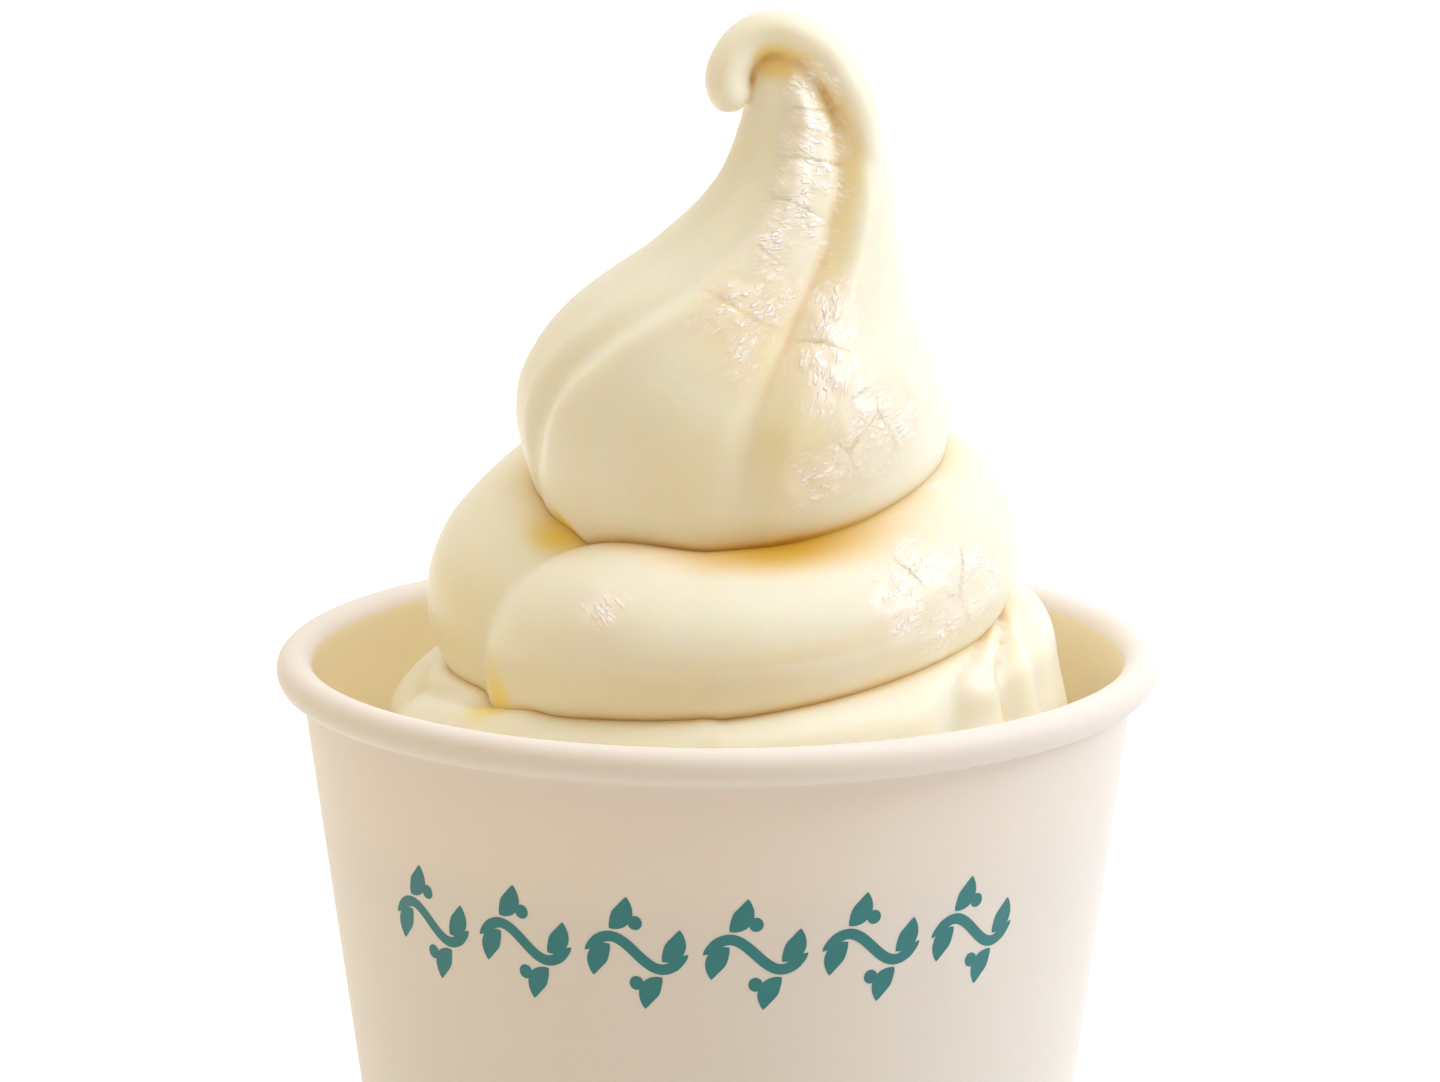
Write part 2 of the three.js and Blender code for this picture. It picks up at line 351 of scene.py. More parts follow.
def smooth_rows(rows, runs):
    """Values of a smooth curve through rows of numbers, at runs from 0 to 1."""
    keys = np.asarray(rows, float)
    last = len(keys) - 1
    keys = np.vstack([2 * keys[0] - keys[1], keys, 2 * keys[-1] - keys[-2]])
    place = np.clip(np.asarray(runs, float) * last, 0, last - 1e-9)
    first = place.astype(int)
    t = (place - first)[:, None]
    a, b, c, d = (keys[first + i] for i in range(4))
    return 0.5 * (2 * b + (c - a) * t + (2 * a - 5 * b + 4 * c - d) * t**2 + (3 * b - a - 3 * c + d) * t**3)


def unit(rows):
    """Rows of vectors at length 1."""
    return rows / np.linalg.norm(rows, axis=-1, keepdims=True)


def tube_mesh(rings):
    """Points and faces of a closed tube through rings of points, shape (along, around, 3)."""
    along, around, _ = rings.shape
    points = np.concatenate([rings.reshape(-1, 3), rings[0].mean(0)[None], rings[-1].mean(0)[None]])
    start, end = along * around, along * around + 1
    faces = []
    for j in range(around):
        k = (j + 1) % around
        faces += [(i * around + j, i * around + k, (i + 1) * around + k, (i + 1) * around + j)
                  for i in range(along - 1)]
        faces += [(start, k, j), (end, (along - 1) * around + j, (along - 1) * around + k)]
    return points, faces


def ring_mesh(rings):
    """Points and faces of a ring whose last section meets its first."""
    along, around, _ = rings.shape
    faces = [
        (i * around + j, i * around + (j + 1) % around,
         (i + 1) % along * around + (j + 1) % around, (i + 1) % along * around + j)
        for i in range(along) for j in range(around)
    ]
    return rings.reshape(-1, 3), faces


def wall_radius(height):
    """Outer radius of the cup's wall at a height."""
    return FOOT_RADIUS + (WALL_TOP_RADIUS - FOOT_RADIUS) * height / RIM_PLANE


def fill_profile(low):
    """Radius and height pairs of what fills the cup, from a height up to the core between the coils."""
    def clear(height):
        return wall_radius(height) - PAPER - GAP
    return [
        (clear(low), low),
        (clear(FILL_HEIGHT - 2.5), FILL_HEIGHT - 2.5),
        (clear(FILL_HEIGHT) - 1, FILL_HEIGHT),
        (36, FILL_HEIGHT + 1.2),
        *CORE,
    ]


def merged_forms(forms):
    """One list of points and one of faces from several."""
    points, faces, start = [], [], 0
    for form_points, form_faces in forms:
        points.append(form_points)
        faces += [tuple(start + i for i in face) for face in form_faces]
        start += len(form_points)
    return np.concatenate(points), faces


def lathe_rings(profile, around):
    """Rings of points about the cup's axis, one for each radius and height pair."""
    angles = np.linspace(0, 360, around, endpoint=False)
    return np.stack([bearing(angles) * radius + [0, 0, height] for radius, height in profile])


def lower_coil():
    """The lowest coil: a closed ring, higher at the back and ridged lengthwise."""
    degrees = np.linspace(0, 360, 360, endpoint=False)[:, None]
    around = np.linspace(0, 2 * math.pi, 120, endpoint=False)[None, :]

    def squared(share):
        return np.sign(share) * np.abs(share) ** LOWER_COIL_SQUARENESS

    twist = LOWER_COIL_RIDGE_TWIST * np.radians(degrees)
    ridge = 1 + LOWER_COIL_RIDGE_DEPTH * np.cos(LOWER_COIL_RIDGES * around + twist)
    reach = np.cos(np.radians(degrees - LOWER_COIL_FAR_SIDE))
    rise = np.cos(np.radians(degrees - LOWER_COIL_HIGH_SIDE))
    width = LOWER_COIL_HALF_WIDTH * ridge * squared(np.cos(around))
    sunk = 0
    for angle, depth, spread in LOWER_COIL_FOLDS:
        lean = LOWER_COIL_FOLD_LEAN * ((np.sin(around) - 0.57) / 0.32).clip(0, 1.2) ** 3
        off = (degrees - angle - lean + 180) % 360 - 180
        pressed = depth * np.exp(-((off / spread) ** 2))
        width = width - pressed * np.cos(around).clip(0)
        sunk = sunk + pressed * np.sin(around).clip(0)
    half_height = LOWER_COIL_HALF_HEIGHT + rise + LOWER_COIL_FAR_RISE * reach
    height = half_height * ridge * squared(np.sin(around)) - sunk
    rings = bearing(degrees) * (LOWER_COIL_RADIUS + LOWER_COIL_FAR_SHIFT * reach + width)[..., None]
    rings = rings + np.zeros((1, around.size, 1))
    rings[..., 2] = LOWER_COIL_HEIGHT + LOWER_COIL_TILT * rise + height
    return ring_mesh(rings)


def middle_coil(first, last):
    """Part of the middle coil, between two of its stations, given as runs from 0 to 1."""
    runs = np.linspace(first, last, 260)

    def centres(at):
        rows = smooth_rows(MIDDLE_COIL, np.clip(at, 0, 1))
        return bearing(rows[:, 0]) * rows[:, 1:2] + rows[:, 2:3] * [0, 0, 1]

    rows = smooth_rows(MIDDLE_COIL, runs)
    forward = unit(centres(runs + 0.002) - centres(runs - 0.002))
    out = bearing(rows[:, 0])
    out = unit(out - forward * (out * forward).sum(1, keepdims=True))
    up = np.cross(out, forward)
    around = np.linspace(0, 2 * math.pi, 120, endpoint=False)
    rings = (
        centres(runs)[:, None]
        + out[:, None] * (np.sin(around) * rows[:, 3:4])[..., None]
        + up[:, None] * (np.cos(around) * rows[:, 4:5])[..., None]
    )
    return tube_mesh(rings)


def groove_share(height, degrees):
    """Share by which the tier's radius is pressed in, at heights and angles from its front."""
    marks = np.array([np.interp(height, TIER_MARK_HEIGHTS, row) for row in TIER_MARK_ANGLES])
    edge, valley, crest = marks
    pressed = [np.interp(height, TIER_MARK_HEIGHTS, row) for row in TIER_PRESSED]
    left = np.minimum(-95, edge - 25)
    keys = np.stack([
        left - 40, left, (left + edge) / 2, edge - 9, edge + 6, (edge + valley) / 2,
        valley - 2, valley + 7, crest, np.full_like(height, 98), np.full_like(height, 140),
    ])
    back = pressed[0]
    flat, step, middle, rough_edge, floor = pressed[1:]
    none = np.zeros_like(height)
    shares = np.stack([back, none, flat, step, none, middle, rough_edge, floor, none, none, back])
    total = np.zeros((len(height), len(degrees)))
    for row in range(len(height)):
        angles = np.concatenate([keys[:, row], [keys[0, row] + 360]])
        values = np.concatenate([shares[:, row], [shares[0, row]]])
        spot = (degrees - angles[0]) % 360 + angles[0]
        right = np.searchsorted(angles, spot, side="right").clip(1, len(angles) - 1)
        share = (spot - angles[right - 1]) / (angles[right] - angles[right - 1])
        share = share * share * (3 - 2 * share)
        total[row] = values[right - 1] + (values[right] - values[right - 1]) * share
    twist = np.interp(height, *BACK_GROOVE_TURN)[:, None]
    off = (degrees[None, :] - BACK_GROOVE_ANGLE + 180 - twist) % 360 - 180
    return total + 0.5 * back[:, None] * np.exp(-((off / BACK_GROOVE_SPREAD) ** 2))


def tier():
    """The cone-shaped tier, grooved lengthwise by the nozzle."""
    rows = smooth_rows(TIER, np.linspace(0, 1, 240))
    degrees = np.linspace(-180, 180, 360, endpoint=False)
    reach = rows[:, 2:3].clip(0.2) * (1 - groove_share(rows[:, 1], degrees))
    turn = np.radians(degrees)
    rings = np.stack(
        [
            rows[:, :1] + reach * np.sin(turn),
            -reach * TIER_DEPTH * np.cos(turn),
            np.broadcast_to(rows[:, 1:2], reach.shape),
        ],
        axis=-1,
    )
    return tube_mesh(rings)


def curl():
    """The strand that curls over to the left and ends in a rounded knob against the neck."""
    rows = smooth_rows(CURL, np.linspace(0, 1, 160))
    centres = rows[:, :3]
    forward = unit(np.gradient(centres, axis=0))
    right = unit(np.cross([0.0, 1.0, 0.0], forward))
    front = np.cross(forward, right)
    steps = np.linalg.norm(np.diff(centres, axis=0), axis=1)
    to_end = steps.sum() - np.concatenate([[0], np.cumsum(steps)])
    inside = np.clip(to_end / CURL_END_LENGTH, 0, 1)
    size = rows[:, 3] * np.maximum(np.sqrt(1 - (1 - inside) ** 2), 0.05)
    around = np.linspace(0, 2 * math.pi, 72, endpoint=False)
    rings = (
        centres[:, None]
        + right[:, None] * (np.sin(around) * size[:, None])[..., None]
        + front[:, None] * (np.cos(around) * size[:, None])[..., None] * CURL_FRONT_STRETCH
    )
    return tube_mesh(rings)


class Surface:
    """A piece's points and neighbours, for work on its surface."""

    def __init__(self, obj, grain, shade_reach):
        self.obj = obj
        self.mesh = obj.data
        self.grain = grain
        self.shade_reach = shade_reach
        self.points = positions(self.mesh)
        self.pocket_shade_share = np.zeros(len(self.points))
        self.touch = np.zeros(len(self.points))
        edges = np.empty(len(self.mesh.edges) * 2, dtype=np.int64)
        self.mesh.edges.foreach_get("vertices", edges)
        edges = edges.reshape(-1, 2)
        self.start = np.concatenate([edges[:, 0], edges[:, 1]])
        self.end = np.concatenate([edges[:, 1], edges[:, 0]])
        self.count = np.bincount(self.start, minlength=len(self.points)).clip(1)

    def around(self, values):
        """The average of each point's neighbours."""
        columns = values.reshape(len(values), -1)
        sums = [np.bincount(self.start, column[self.end], len(values)) for column in columns.T]
        return (np.stack(sums, axis=1) / self.count[:, None]).reshape(values.shape)

    def rounds(self, reach):
        """Rounds of averaging that even out features of a reach in millimetres."""
        return max(1, round(2.4 * (reach / self.grain) ** 2))

    def relax(self, rounds, share=1.0):
        """Evens the surface out, by a share for each point."""
        share = np.broadcast_to(share, len(self.points))[:, None]
        for _ in range(rounds):
            self.points = self.points + 0.5 * share * (self.around(self.points) - self.points)

    def blurred(self, values, reach):
        """Numbers on the points, spread out over a reach."""
        for _ in range(self.rounds(reach)):
            values = 0.5 * (values + self.around(values))
        return values

    def normals(self):
        """The outward direction at each point."""
        move_points(self.mesh, self.points)
        flat = np.empty(len(self.points) * 3)
        self.mesh.vertex_normals.foreach_get("vector", flat)
        return flat.reshape(-1, 3)

    def hollow(self, reach):
        """How far each point lies below the surface evened out over a reach, in millimetres."""
        evened = self.blurred(self.points, reach)
        return ((evened - self.points) * self.normals()).sum(1)

    def distance_to(self, others, limit):
        """Distance from each point to the nearest point of other surfaces, up to a limit."""
        cloud = np.concatenate([other.points for other in others])
        tree = kdtree.KDTree(len(cloud))
        for index, point in enumerate(cloud.tolist()):
            tree.insert(point, index)
        tree.balance()
        return np.minimum([tree.find(point)[2] for point in self.points.tolist()], limit)


# ======================= marks on the ice cream =======================


# Hollows pressed into the surface, or lobes raised where the depth is negative: angle from the front,
# distance from the cup's axis, height, radius and depth in millimetres, and share of the painted warm pocket
# shade.
DENTS = [
    (-54, 30, 58.5, 5, 0.2, 1),
    (-42, 30, 57.5, 4.4, -0.5, 0),
    (-66, 19, 73.5, 4.6, 0.7, 1),
    (-83, 33, 56, 5, -0.6, 0),
    (50, 34.5, 60, 3.6, -0.9, 0),
]


def tier_spot(degrees, height):
    """The point of the tier's surface at an angle from its front and a height."""
    shifts, heights, radii = np.transpose(TIER)
    pressed = groove_share(np.array([height], float), np.array([degrees], float))[0, 0]
    reach = np.interp(height, heights, radii) * (1 - pressed)
    return bearing(degrees) * reach * (1, TIER_DEPTH, 1) + (np.interp(height, heights, shifts), 0, height)


def middle_coil_spot(degrees, height):
    """The outermost point of the middle coil at an angle from the front and a height."""
    angles, *others = np.transpose(MIDDLE_COIL[2:])
    path, centre, half_width, half_height = (np.interp(degrees, angles, row) for row in others)
    reach = path + half_width * math.sqrt(1 - ((height - centre) / half_height) ** 2)
    return bearing(degrees) * reach + (0, 0, height)


def lower_coil_spot(degrees, height):
    """The outermost point of the lower coil at an angle from the front and a height."""
    rise = math.cos(math.radians(degrees - LOWER_COIL_HIGH_SIDE))
    above = (height - LOWER_COIL_HEIGHT - LOWER_COIL_TILT * rise) / LOWER_COIL_HALF_HEIGHT
    reach = LOWER_COIL_RADIUS + LOWER_COIL_HALF_WIDTH * math.sqrt(1 - above**2)
    return bearing(degrees) * reach + (0, 0, height)


# Frosty patches: the form they lie on, angle from its front, height, radius in millimetres, strength,
# and the lean of their icy dashes in degrees from level.
FROST_PATCHES = [
    (tier_spot, 25, 121, 3.6, 1, -25),
    (tier_spot, 10, 116.5, 4.4, 1, -20),
    (tier_spot, 6, 111.5, 4.6, 1, -12),
    (tier_spot, 4, 106.5, 5.4, 1, 5),
    (tier_spot, -2, 102, 6, 0.8, 30),
    (tier_spot, -3, 97, 6, 0.6, 35),
    (tier_spot, 34, 98.5, 5, 1, 72),
    (tier_spot, 28, 92.5, 5.6, 1, 78),
    (tier_spot, 34, 88.5, 4.5, 0.8, 40),
    (tier_spot, 50, 87.5, 5, 0.9, 35),
    (tier_spot, 24, 83, 5, 0.6, 28),
    (tier_spot, 40, 85.5, 4.5, 0.9, 30),
    (tier_spot, -153, 97, 7, 0.8, 60),
    (tier_spot, -128, 84, 6.5, 0.8, 30),
    (middle_coil_spot, 68, 78, 4, 0.9, 35),
    (middle_coil_spot, 50, 73.5, 5, 1, 40),
    (middle_coil_spot, 60, 70.5, 5, 1, 32),
    (middle_coil_spot, 38, 70.5, 5, 0.8, 30),
    (middle_coil_spot, 47, 67.5, 4.5, 0.7, 30),
    (middle_coil_spot, -24, 70.5, 3.4, 0.9, -42),
    (middle_coil_spot, 155, 76, 7.5, 0.9, 20),
    (middle_coil_spot, 225, 72, 6, 0.7, 25),
    (lower_coil_spot, 26, 55, 3.5, 0.5, 10),
]

# The icy dashes' length and width in millimetres.
DASH_LENGTH = 1.3
DASH_WIDTH = 0.55

# Warm shade beside the curled strand: how much of the strand it follows, its radius and how far it
# stands in front in millimetres, how far inwards in shares of the strand's radius, and its strength.
FLANK_RUN = 0.6
FLANK_RADIUS = 2.4
FLANK_FRONT = 2.3
FLANK_INWARD = 1.1
FLANK_STRENGTH = (0.45, 1.0)


def warm_flank():
    """Centres of the warm shade on the curled strand's inner side, and its strength at each."""
    rows = smooth_rows(CURL, np.linspace(0, FLANK_RUN, 50))
    forward = unit(np.gradient(rows[:, :3], axis=0))
    inner = unit(np.cross(forward, [0.0, 1.0, 0.0]))
    centres = rows[:, :3] + inner * rows[:, 3:] * FLANK_INWARD - [0, FLANK_FRONT, 0]
    return zip(centres, np.linspace(*FLANK_STRENGTH, 50))


# Painted shade in soft clouds on the smooth cream: centre right, depth and height, radius in millimetres, and
# share of the painted crease shade.
PAINTED_SHADE_CLOUDS = [
    ((4.5, -18.0, 97.0), 9.0, 0.4),
    ((8.0, -21.5, 86.0), 8.0, 0.35),
    ((-4.0, -22.5, 84.0), 9.0, 0.2),
    ((12.5, -8.0, 112.0), 5.0, 0.2),
    ((-29.0, -8.0, 66.0), 9.0, 0.25),
]

# Hollows that take the painted crease shade, wide ones, and the painted seam shade, narrow ones: over what
# reach they are measured, how far their share is spread, and the depths at which it starts and is full, in
# millimetres.
WIDE_REACH, WIDE_SPREAD, WIDE_DEPTHS = 4.0, 1.2, (0.25, 1.9)
NARROW_REACH, NARROW_SPREAD, NARROW_DEPTHS = 1.4, 0.5, (0.08, 0.5)

# Heights over which the tier's valley opens and closes again, and how much paler its painted seam shade is
# between.
VALLEY_OPENS = (102, 107)
VALLEY_CLOSES = (117, 121)
VALLEY_PALER = 0.85

# Shade where pieces meet, in millimetres: how far off it is looked for, where its thin line starts to
# fade and over what reach, and its strength, with what is added on the coil's front below the tier.
CONTACT_LIMIT = 20
CONTACT_START = 0.3
CREASE_REACH = 0.4
LINE_STRENGTH = 0.3
LINE_ADDED = 0.6

# The coil's front below the tier: its middle and spread to the right, its depths and its heights.
BELOW_TIER_MIDDLE = 7
BELOW_TIER_SPREAD = 10
BELOW_TIER_DEPTHS = (-8, -14)
BELOW_TIER_HEIGHTS = (58, 66)
SHADOW_START = 2

# How far from a mark's centre it has faded out, in shares of its radius.
FADE_END = 1.2

# The ground's colour in the frost, partly painted shade: its strength, and the heights over which the tip and
# the coils begin.
HOAR_SHADE_STRENGTH = 0.75
HOAR_SHADE_TIP_HEIGHTS = (103, 110)
HOAR_SHADE_COIL_HEIGHTS = (78, 84)

# Soft swells of the surface: rise and size in millimetres, and the seed of each.
SWELLS = [(0.14, 9, 1), (0.05, 3.5, 2)]


def faded(points, centre, radius, full):
    """A mark's share at each point: 1 up to a share of its radius, then fading out."""
    return 1 - smooth_step(full, FADE_END, np.linalg.norm(points - centre, axis=1) / radius)


def frost_fields(points):
    """Share of frost at each point, and the point's place among the dashes there."""
    mask = np.zeros(len(points))
    second = np.zeros(len(points))
    places = points / DASH_WIDTH
    for spot, degrees, height, radius, strength, lean in FROST_PATCHES:
        here = strength * faded(points, spot(degrees, height), radius, 0.35)
        turn = math.radians(lean)
        along = points @ [math.cos(turn), 0, math.sin(turn)]
        across = points @ [-math.sin(turn), 0, math.cos(turn)]
        local = np.stack([along / DASH_LENGTH, across / DASH_WIDTH, points[:, 1] / DASH_LENGTH], axis=1)
        places = np.where((here > mask)[:, None], local, places)
        second = np.maximum(second, np.minimum(mask, here))
        mask = np.maximum(mask, here)
    broken = np.clip(0.65 + 0.9 * soft_noise(points, 2.8, 5), 0, 1)
    return mask * broken * smooth_step(0.01, 0.12, mask - second), places


def skinned(name, grain, shade_reach, forms):
    """One closed skin round several forms, with its dents pressed in."""
    obj = mesh_object(name, *merged_forms(forms))
    remesh = obj.modifiers.new("skin", "REMESH")
    remesh.mode = "VOXEL"
    remesh.voxel_size = grain * MM
    settled(obj)
    surface = Surface(obj, grain, shade_reach)
    surface.relax(4)
    root = np.linalg.norm(surface.points - STRAND_ROOT, axis=1)
    if root.min() < STRAND_ROOT_REACH[1]:
        surface.relax(surface.rounds(1.4), 1 - smooth_step(*STRAND_ROOT_REACH, root))
    normals = surface.normals()
    start = surface.points.copy()
    for degrees, out, height, radius, depth, colour in DENTS:
        centre = bearing(degrees) * out + (0, 0, height)
        near = 1 - smooth_step(0, radius, np.linalg.norm(start - centre, axis=1))
        surface.points = surface.points - normals * (depth * near)[:, None]
        # The pockets also take painted warm shade.
        surface.pocket_shade_share = np.maximum(surface.pocket_shade_share, colour * near)
    surface.relax(3)
    return surface


def shade_contacts(surface, others):
    """Notes where a piece meets others: a thin line, and a broad shadow on the coil below the tier."""
    near = surface.distance_to(others, CONTACT_LIMIT)
    upward = surface.normals()[:, 2].clip(0)
    across, depth, height = surface.points.T
    below_tier = np.exp(-(((across - BELOW_TIER_MIDDLE) / BELOW_TIER_SPREAD) ** 2))
    below_tier = below_tier * smooth_step(*BELOW_TIER_DEPTHS, depth)
    below_tier = below_tier * smooth_step(*BELOW_TIER_HEIGHTS, height)
    reach = CREASE_REACH + (surface.shade_reach - CREASE_REACH) * upward * 0.2
    line = (LINE_STRENGTH + LINE_ADDED * below_tier) * np.exp(-(near - CONTACT_START).clip(0) / reach)
    surface.touch = line
    if surface.shade_reach > SHADOW_START:
        fading = 1 - smooth_step(SHADOW_START, surface.shade_reach, near)
        surface.touch = np.maximum(line, below_tier * upward**0.4 * fading)


def crease_shade_share(surface):
    """Share of the painted crease shade: in wide hollows, where pieces meet, beside the curled strand and in
    the painted shade clouds.
    """
    wide = surface.blurred(surface.hollow(WIDE_REACH).clip(0), WIDE_SPREAD)
    crease_shade = np.maximum(smooth_step(*WIDE_DEPTHS, wide), surface.touch)
    for centre, share in warm_flank():
        crease_shade = np.maximum(crease_shade, share * faded(surface.points, centre, FLANK_RADIUS, 0.4))
    for centre, radius, share in PAINTED_SHADE_CLOUDS:
        crease_shade = np.maximum(crease_shade, share * faded(surface.points, centre, radius, 0.2))
    return crease_shade


def seam_shade_share(surface):
    """Share of the painted seam shade: in narrow hollows and where pieces meet, paler in the open valley."""
    narrow = surface.blurred(surface.hollow(NARROW_REACH).clip(0), NARROW_SPREAD)
    height = surface.points[:, 2]
    open_valley = smooth_step(*VALLEY_OPENS, height) - smooth_step(*VALLEY_CLOSES, height)
    return np.maximum(smooth_step(*NARROW_DEPTHS, narrow) * (1 - VALLEY_PALER * open_valley), surface.touch)


def finish_surface(surface, settings):
    """Paints a piece's frost, and painted shade in its creases, seams, pockets and frost's ground, and raises
    its soft swell and icy grain.
    """
    crease_shade, seam = crease_shade_share(surface), seam_shade_share(surface)
    frost, places = frost_fields(surface.points)
    height = surface.points[:, 2]
    # Painted shade on the ground between the grains: darkest on the tier's side, and paler near the tip and
    # on the coils.
    near_tip = smooth_step(*HOAR_SHADE_TIP_HEIGHTS, height)
    above_coils = smooth_step(*HOAR_SHADE_COIL_HEIGHTS, height)
    hoar_shade = HOAR_SHADE_STRENGTH * frost * (1 - 0.8 * near_tip) * (0.4 + 0.6 * above_coils)
    dashes = np.clip(1.5 * soft_noise(places, 2.2, 3) + 0.2, 0, 1)
    swell = sum(rise * soft_noise(surface.points, size, seed) for rise, size, seed in SWELLS)
    lift = swell + settings.frost_relief / MM * frost * (dashes + 0.4 * soft_noise(surface.points, 1.1, 4))
    surface.points = surface.points + surface.normals() * lift[:, None]
    surface.points[:, 2] = np.minimum(surface.points[:, 2], TIP_TOP)
    move_points(surface.mesh, surface.points)
    # The crease, seam and pocket shares and the frost's ground are painted shade; the frost share is the
    # patches' own.
    painted = {"crease_shade": crease_shade, "seam": seam, "pocket_shade": surface.pocket_shade_share, "frost": frost, "hoar_shade": hoar_shade}
    for name, values in painted.items():
        paint(surface.mesh, name, values)
    grain = surface.mesh.attributes.new("grain", "FLOAT_VECTOR", "POINT")
    grain.data.foreach_set("vector", places.astype(np.float32).ravel())


# ======================= materials =======================


def icy_grain(tree, frost):
    """Height of the icy grains in the frosty patches: small domes along the dashes, some missing."""
    grain = add_node(tree, "ShaderNodeAttribute", {"attribute_name": "grain"}).outputs["Vector"]
    stray = add_node(tree, "ShaderNodeTexNoise", inputs={"Vector": grain, "Scale": 1.3, "Detail": 1.0})
    stray = add_node(tree, "ShaderNodeVectorMath", {"operation": "MULTIPLY_ADD"}, {
        0: stray.outputs["Color"], 1: (1.6, 1.6, 0.0), 2: grain})
    crystals = add_node(tree, "ShaderNodeTexVoronoi", {"voronoi_dimensions": "2D", "feature": "F1"}, {
        "Vector": stray.outputs[0], "Scale": 1.0, "Randomness": 1.0})
    domes = add_node(tree, "ShaderNodeMapRange", {"interpolation_type": "SMOOTHSTEP"}, {
        "Value": crystals.outputs["Distance"], "From Min": 0.55, "From Max": 0.15})
    pick = add_node(tree, "ShaderNodeSeparateColor", inputs={0: crystals.outputs["Color"]})
    present = add_node(tree, "ShaderNodeMapRange", inputs={
        "Value": pick.outputs[0], "From Min": 0.1, "From Max": 0.6})
    dashes = add_node(tree, "ShaderNodeMath", {"operation": "MULTIPLY"}, {
        0: domes.outputs[0], 1: present.outputs[0]})
    icy = add_node(tree, "ShaderNodeMath", {"operation": "MULTIPLY"}, {0: dashes.outputs[0], 1: frost})
    return icy.outputs[0]


def soft_serve_material(settings):
    """Vanilla soft serve, drawn from a star nozzle: milky and lit from within, with yellow shade painted into
    its creases, seams and pockets, a thin melted gloss and frosty, crystalline patches."""
    material = new_material("soft_serve_ice_cream")
    tree = material.node_tree
    place = add_node(tree, "ShaderNodeTexCoord").outputs["Object"]
    shares = {}
    for name in ("crease_shade", "seam", "pocket_shade", "hoar_shade", "frost"):
        shares[name] = add_node(tree, "ShaderNodeAttribute", {"attribute_name": name}).outputs["Fac"]
    cloud = add_node(tree, "ShaderNodeTexNoise", inputs={
        "Vector": place, "Scale": 1 / (9 * MM), "Detail": 2.0})
    colour = add_node(tree, "ShaderNodeMix", {"data_type": "RGBA"}, {
        0: cloud.outputs["Fac"], 6: (*settings.cream, 1), 7: (*settings.cream_shade, 1)}).outputs[2]
    # Painted shade in the creases, seams and pockets, and on the frost's ground, laid over the cream.
    layers = {
        "crease_shade": settings.crease_shade_colour,
        "seam": settings.seam_shade_colour,
        "pocket_shade": settings.pocket_shade_colour,
        "hoar_shade": settings.hoar_shade_colour,
    }
    for name, layer in layers.items():
        colour = add_node(tree, "ShaderNodeMix", {"data_type": "RGBA"}, {
            0: shares[name], 6: colour, 7: (*layer, 1)}).outputs[2]
    icy = icy_grain(tree, shares["frost"])
    ripple = add_node(tree, "ShaderNodeTexNoise", inputs={
        "Vector": place, "Scale": 1 / (2.2 * MM), "Detail": 2.0})
    swell = add_node(tree, "ShaderNodeBump", inputs={
        "Strength": 0.25, "Distance": 0.08 * MM, "Height": ripple.outputs["Fac"]})
    swell = add_node(tree, "ShaderNodeBump", inputs={
        "Strength": 1.0, "Distance": 0.12 * MM, "Height": icy, "Normal": swell.outputs["Normal"]})
    facets = add_node(tree, "ShaderNodeBump", inputs={
        "Strength": 1.0, "Distance": 0.22 * MM, "Height": icy})
    # Light spreads less inside the seams, pockets and frost.
    dense = add_node(tree, "ShaderNodeMath", {"operation": "MAXIMUM"}, {
        0: shares["seam"], 1: shares["pocket_shade"]})
    dense = add_node(tree, "ShaderNodeMath", {"operation": "MAXIMUM"}, {
        0: dense.outputs[0], 1: shares["frost"]})
    glow = add_node(tree, "ShaderNodeMapRange", inputs={
        "Value": dense.outputs[0], "To Min": 1.0, "To Max": 0.2})
    rough = add_node(tree, "ShaderNodeMapRange", inputs={
        "Value": ripple.outputs["Fac"], "To Min": 0.36, "To Max": 0.5})
    cream = add_node(tree, "ShaderNodeBsdfPrincipled", {"subsurface_method": "RANDOM_WALK"}, {
        "Base Color": colour,
        "Roughness": rough.outputs[0],
        "IOR": 1.36,
        "Subsurface Weight": glow.outputs[0],
        "Subsurface Radius": (1.0, 0.65, 0.35),
        "Subsurface Scale": settings.glow_depth,
        "Coat Weight": 0.5,
        "Coat Roughness": 0.35,
        "Normal": swell.outputs["Normal"],
    })
    # The grains' faint glow stands for the light that reaches them from inside the ice cream.
    ice = add_node(tree, "ShaderNodeBsdfPrincipled", inputs={
        "Base Color": (1.0, 0.985, 0.95, 1),
        "Roughness": 0.3,
        "IOR": 1.31,
        "Coat Weight": 1.0,
        "Coat Roughness": 0.15,
        "Emission Color": (1.0, 0.97, 0.92, 1),
        "Emission Strength": 0.1,
        "Sheen Weight": 0.8,
        "Sheen Roughness": 0.4,
        "Normal": facets.outputs["Normal"],
    })
    rime = add_node(tree, "ShaderNodeMath", {"operation": "MULTIPLY"}, {0: shares["frost"], 1: 0.55})
    share = add_node(tree, "ShaderNodeMath", {"operation": "MULTIPLY_ADD", "use_clamp": True}, {
        0: icy, 1: 1.1, 2: rime.outputs[0]})
    both = add_node(tree, "ShaderNodeMixShader", inputs={
        0: share.outputs[0], 1: cream.outputs[0], 2: ice.outputs[0]})
    add_node(tree, "ShaderNodeOutputMaterial", inputs={"Surface": both.outputs[0]})
    return material


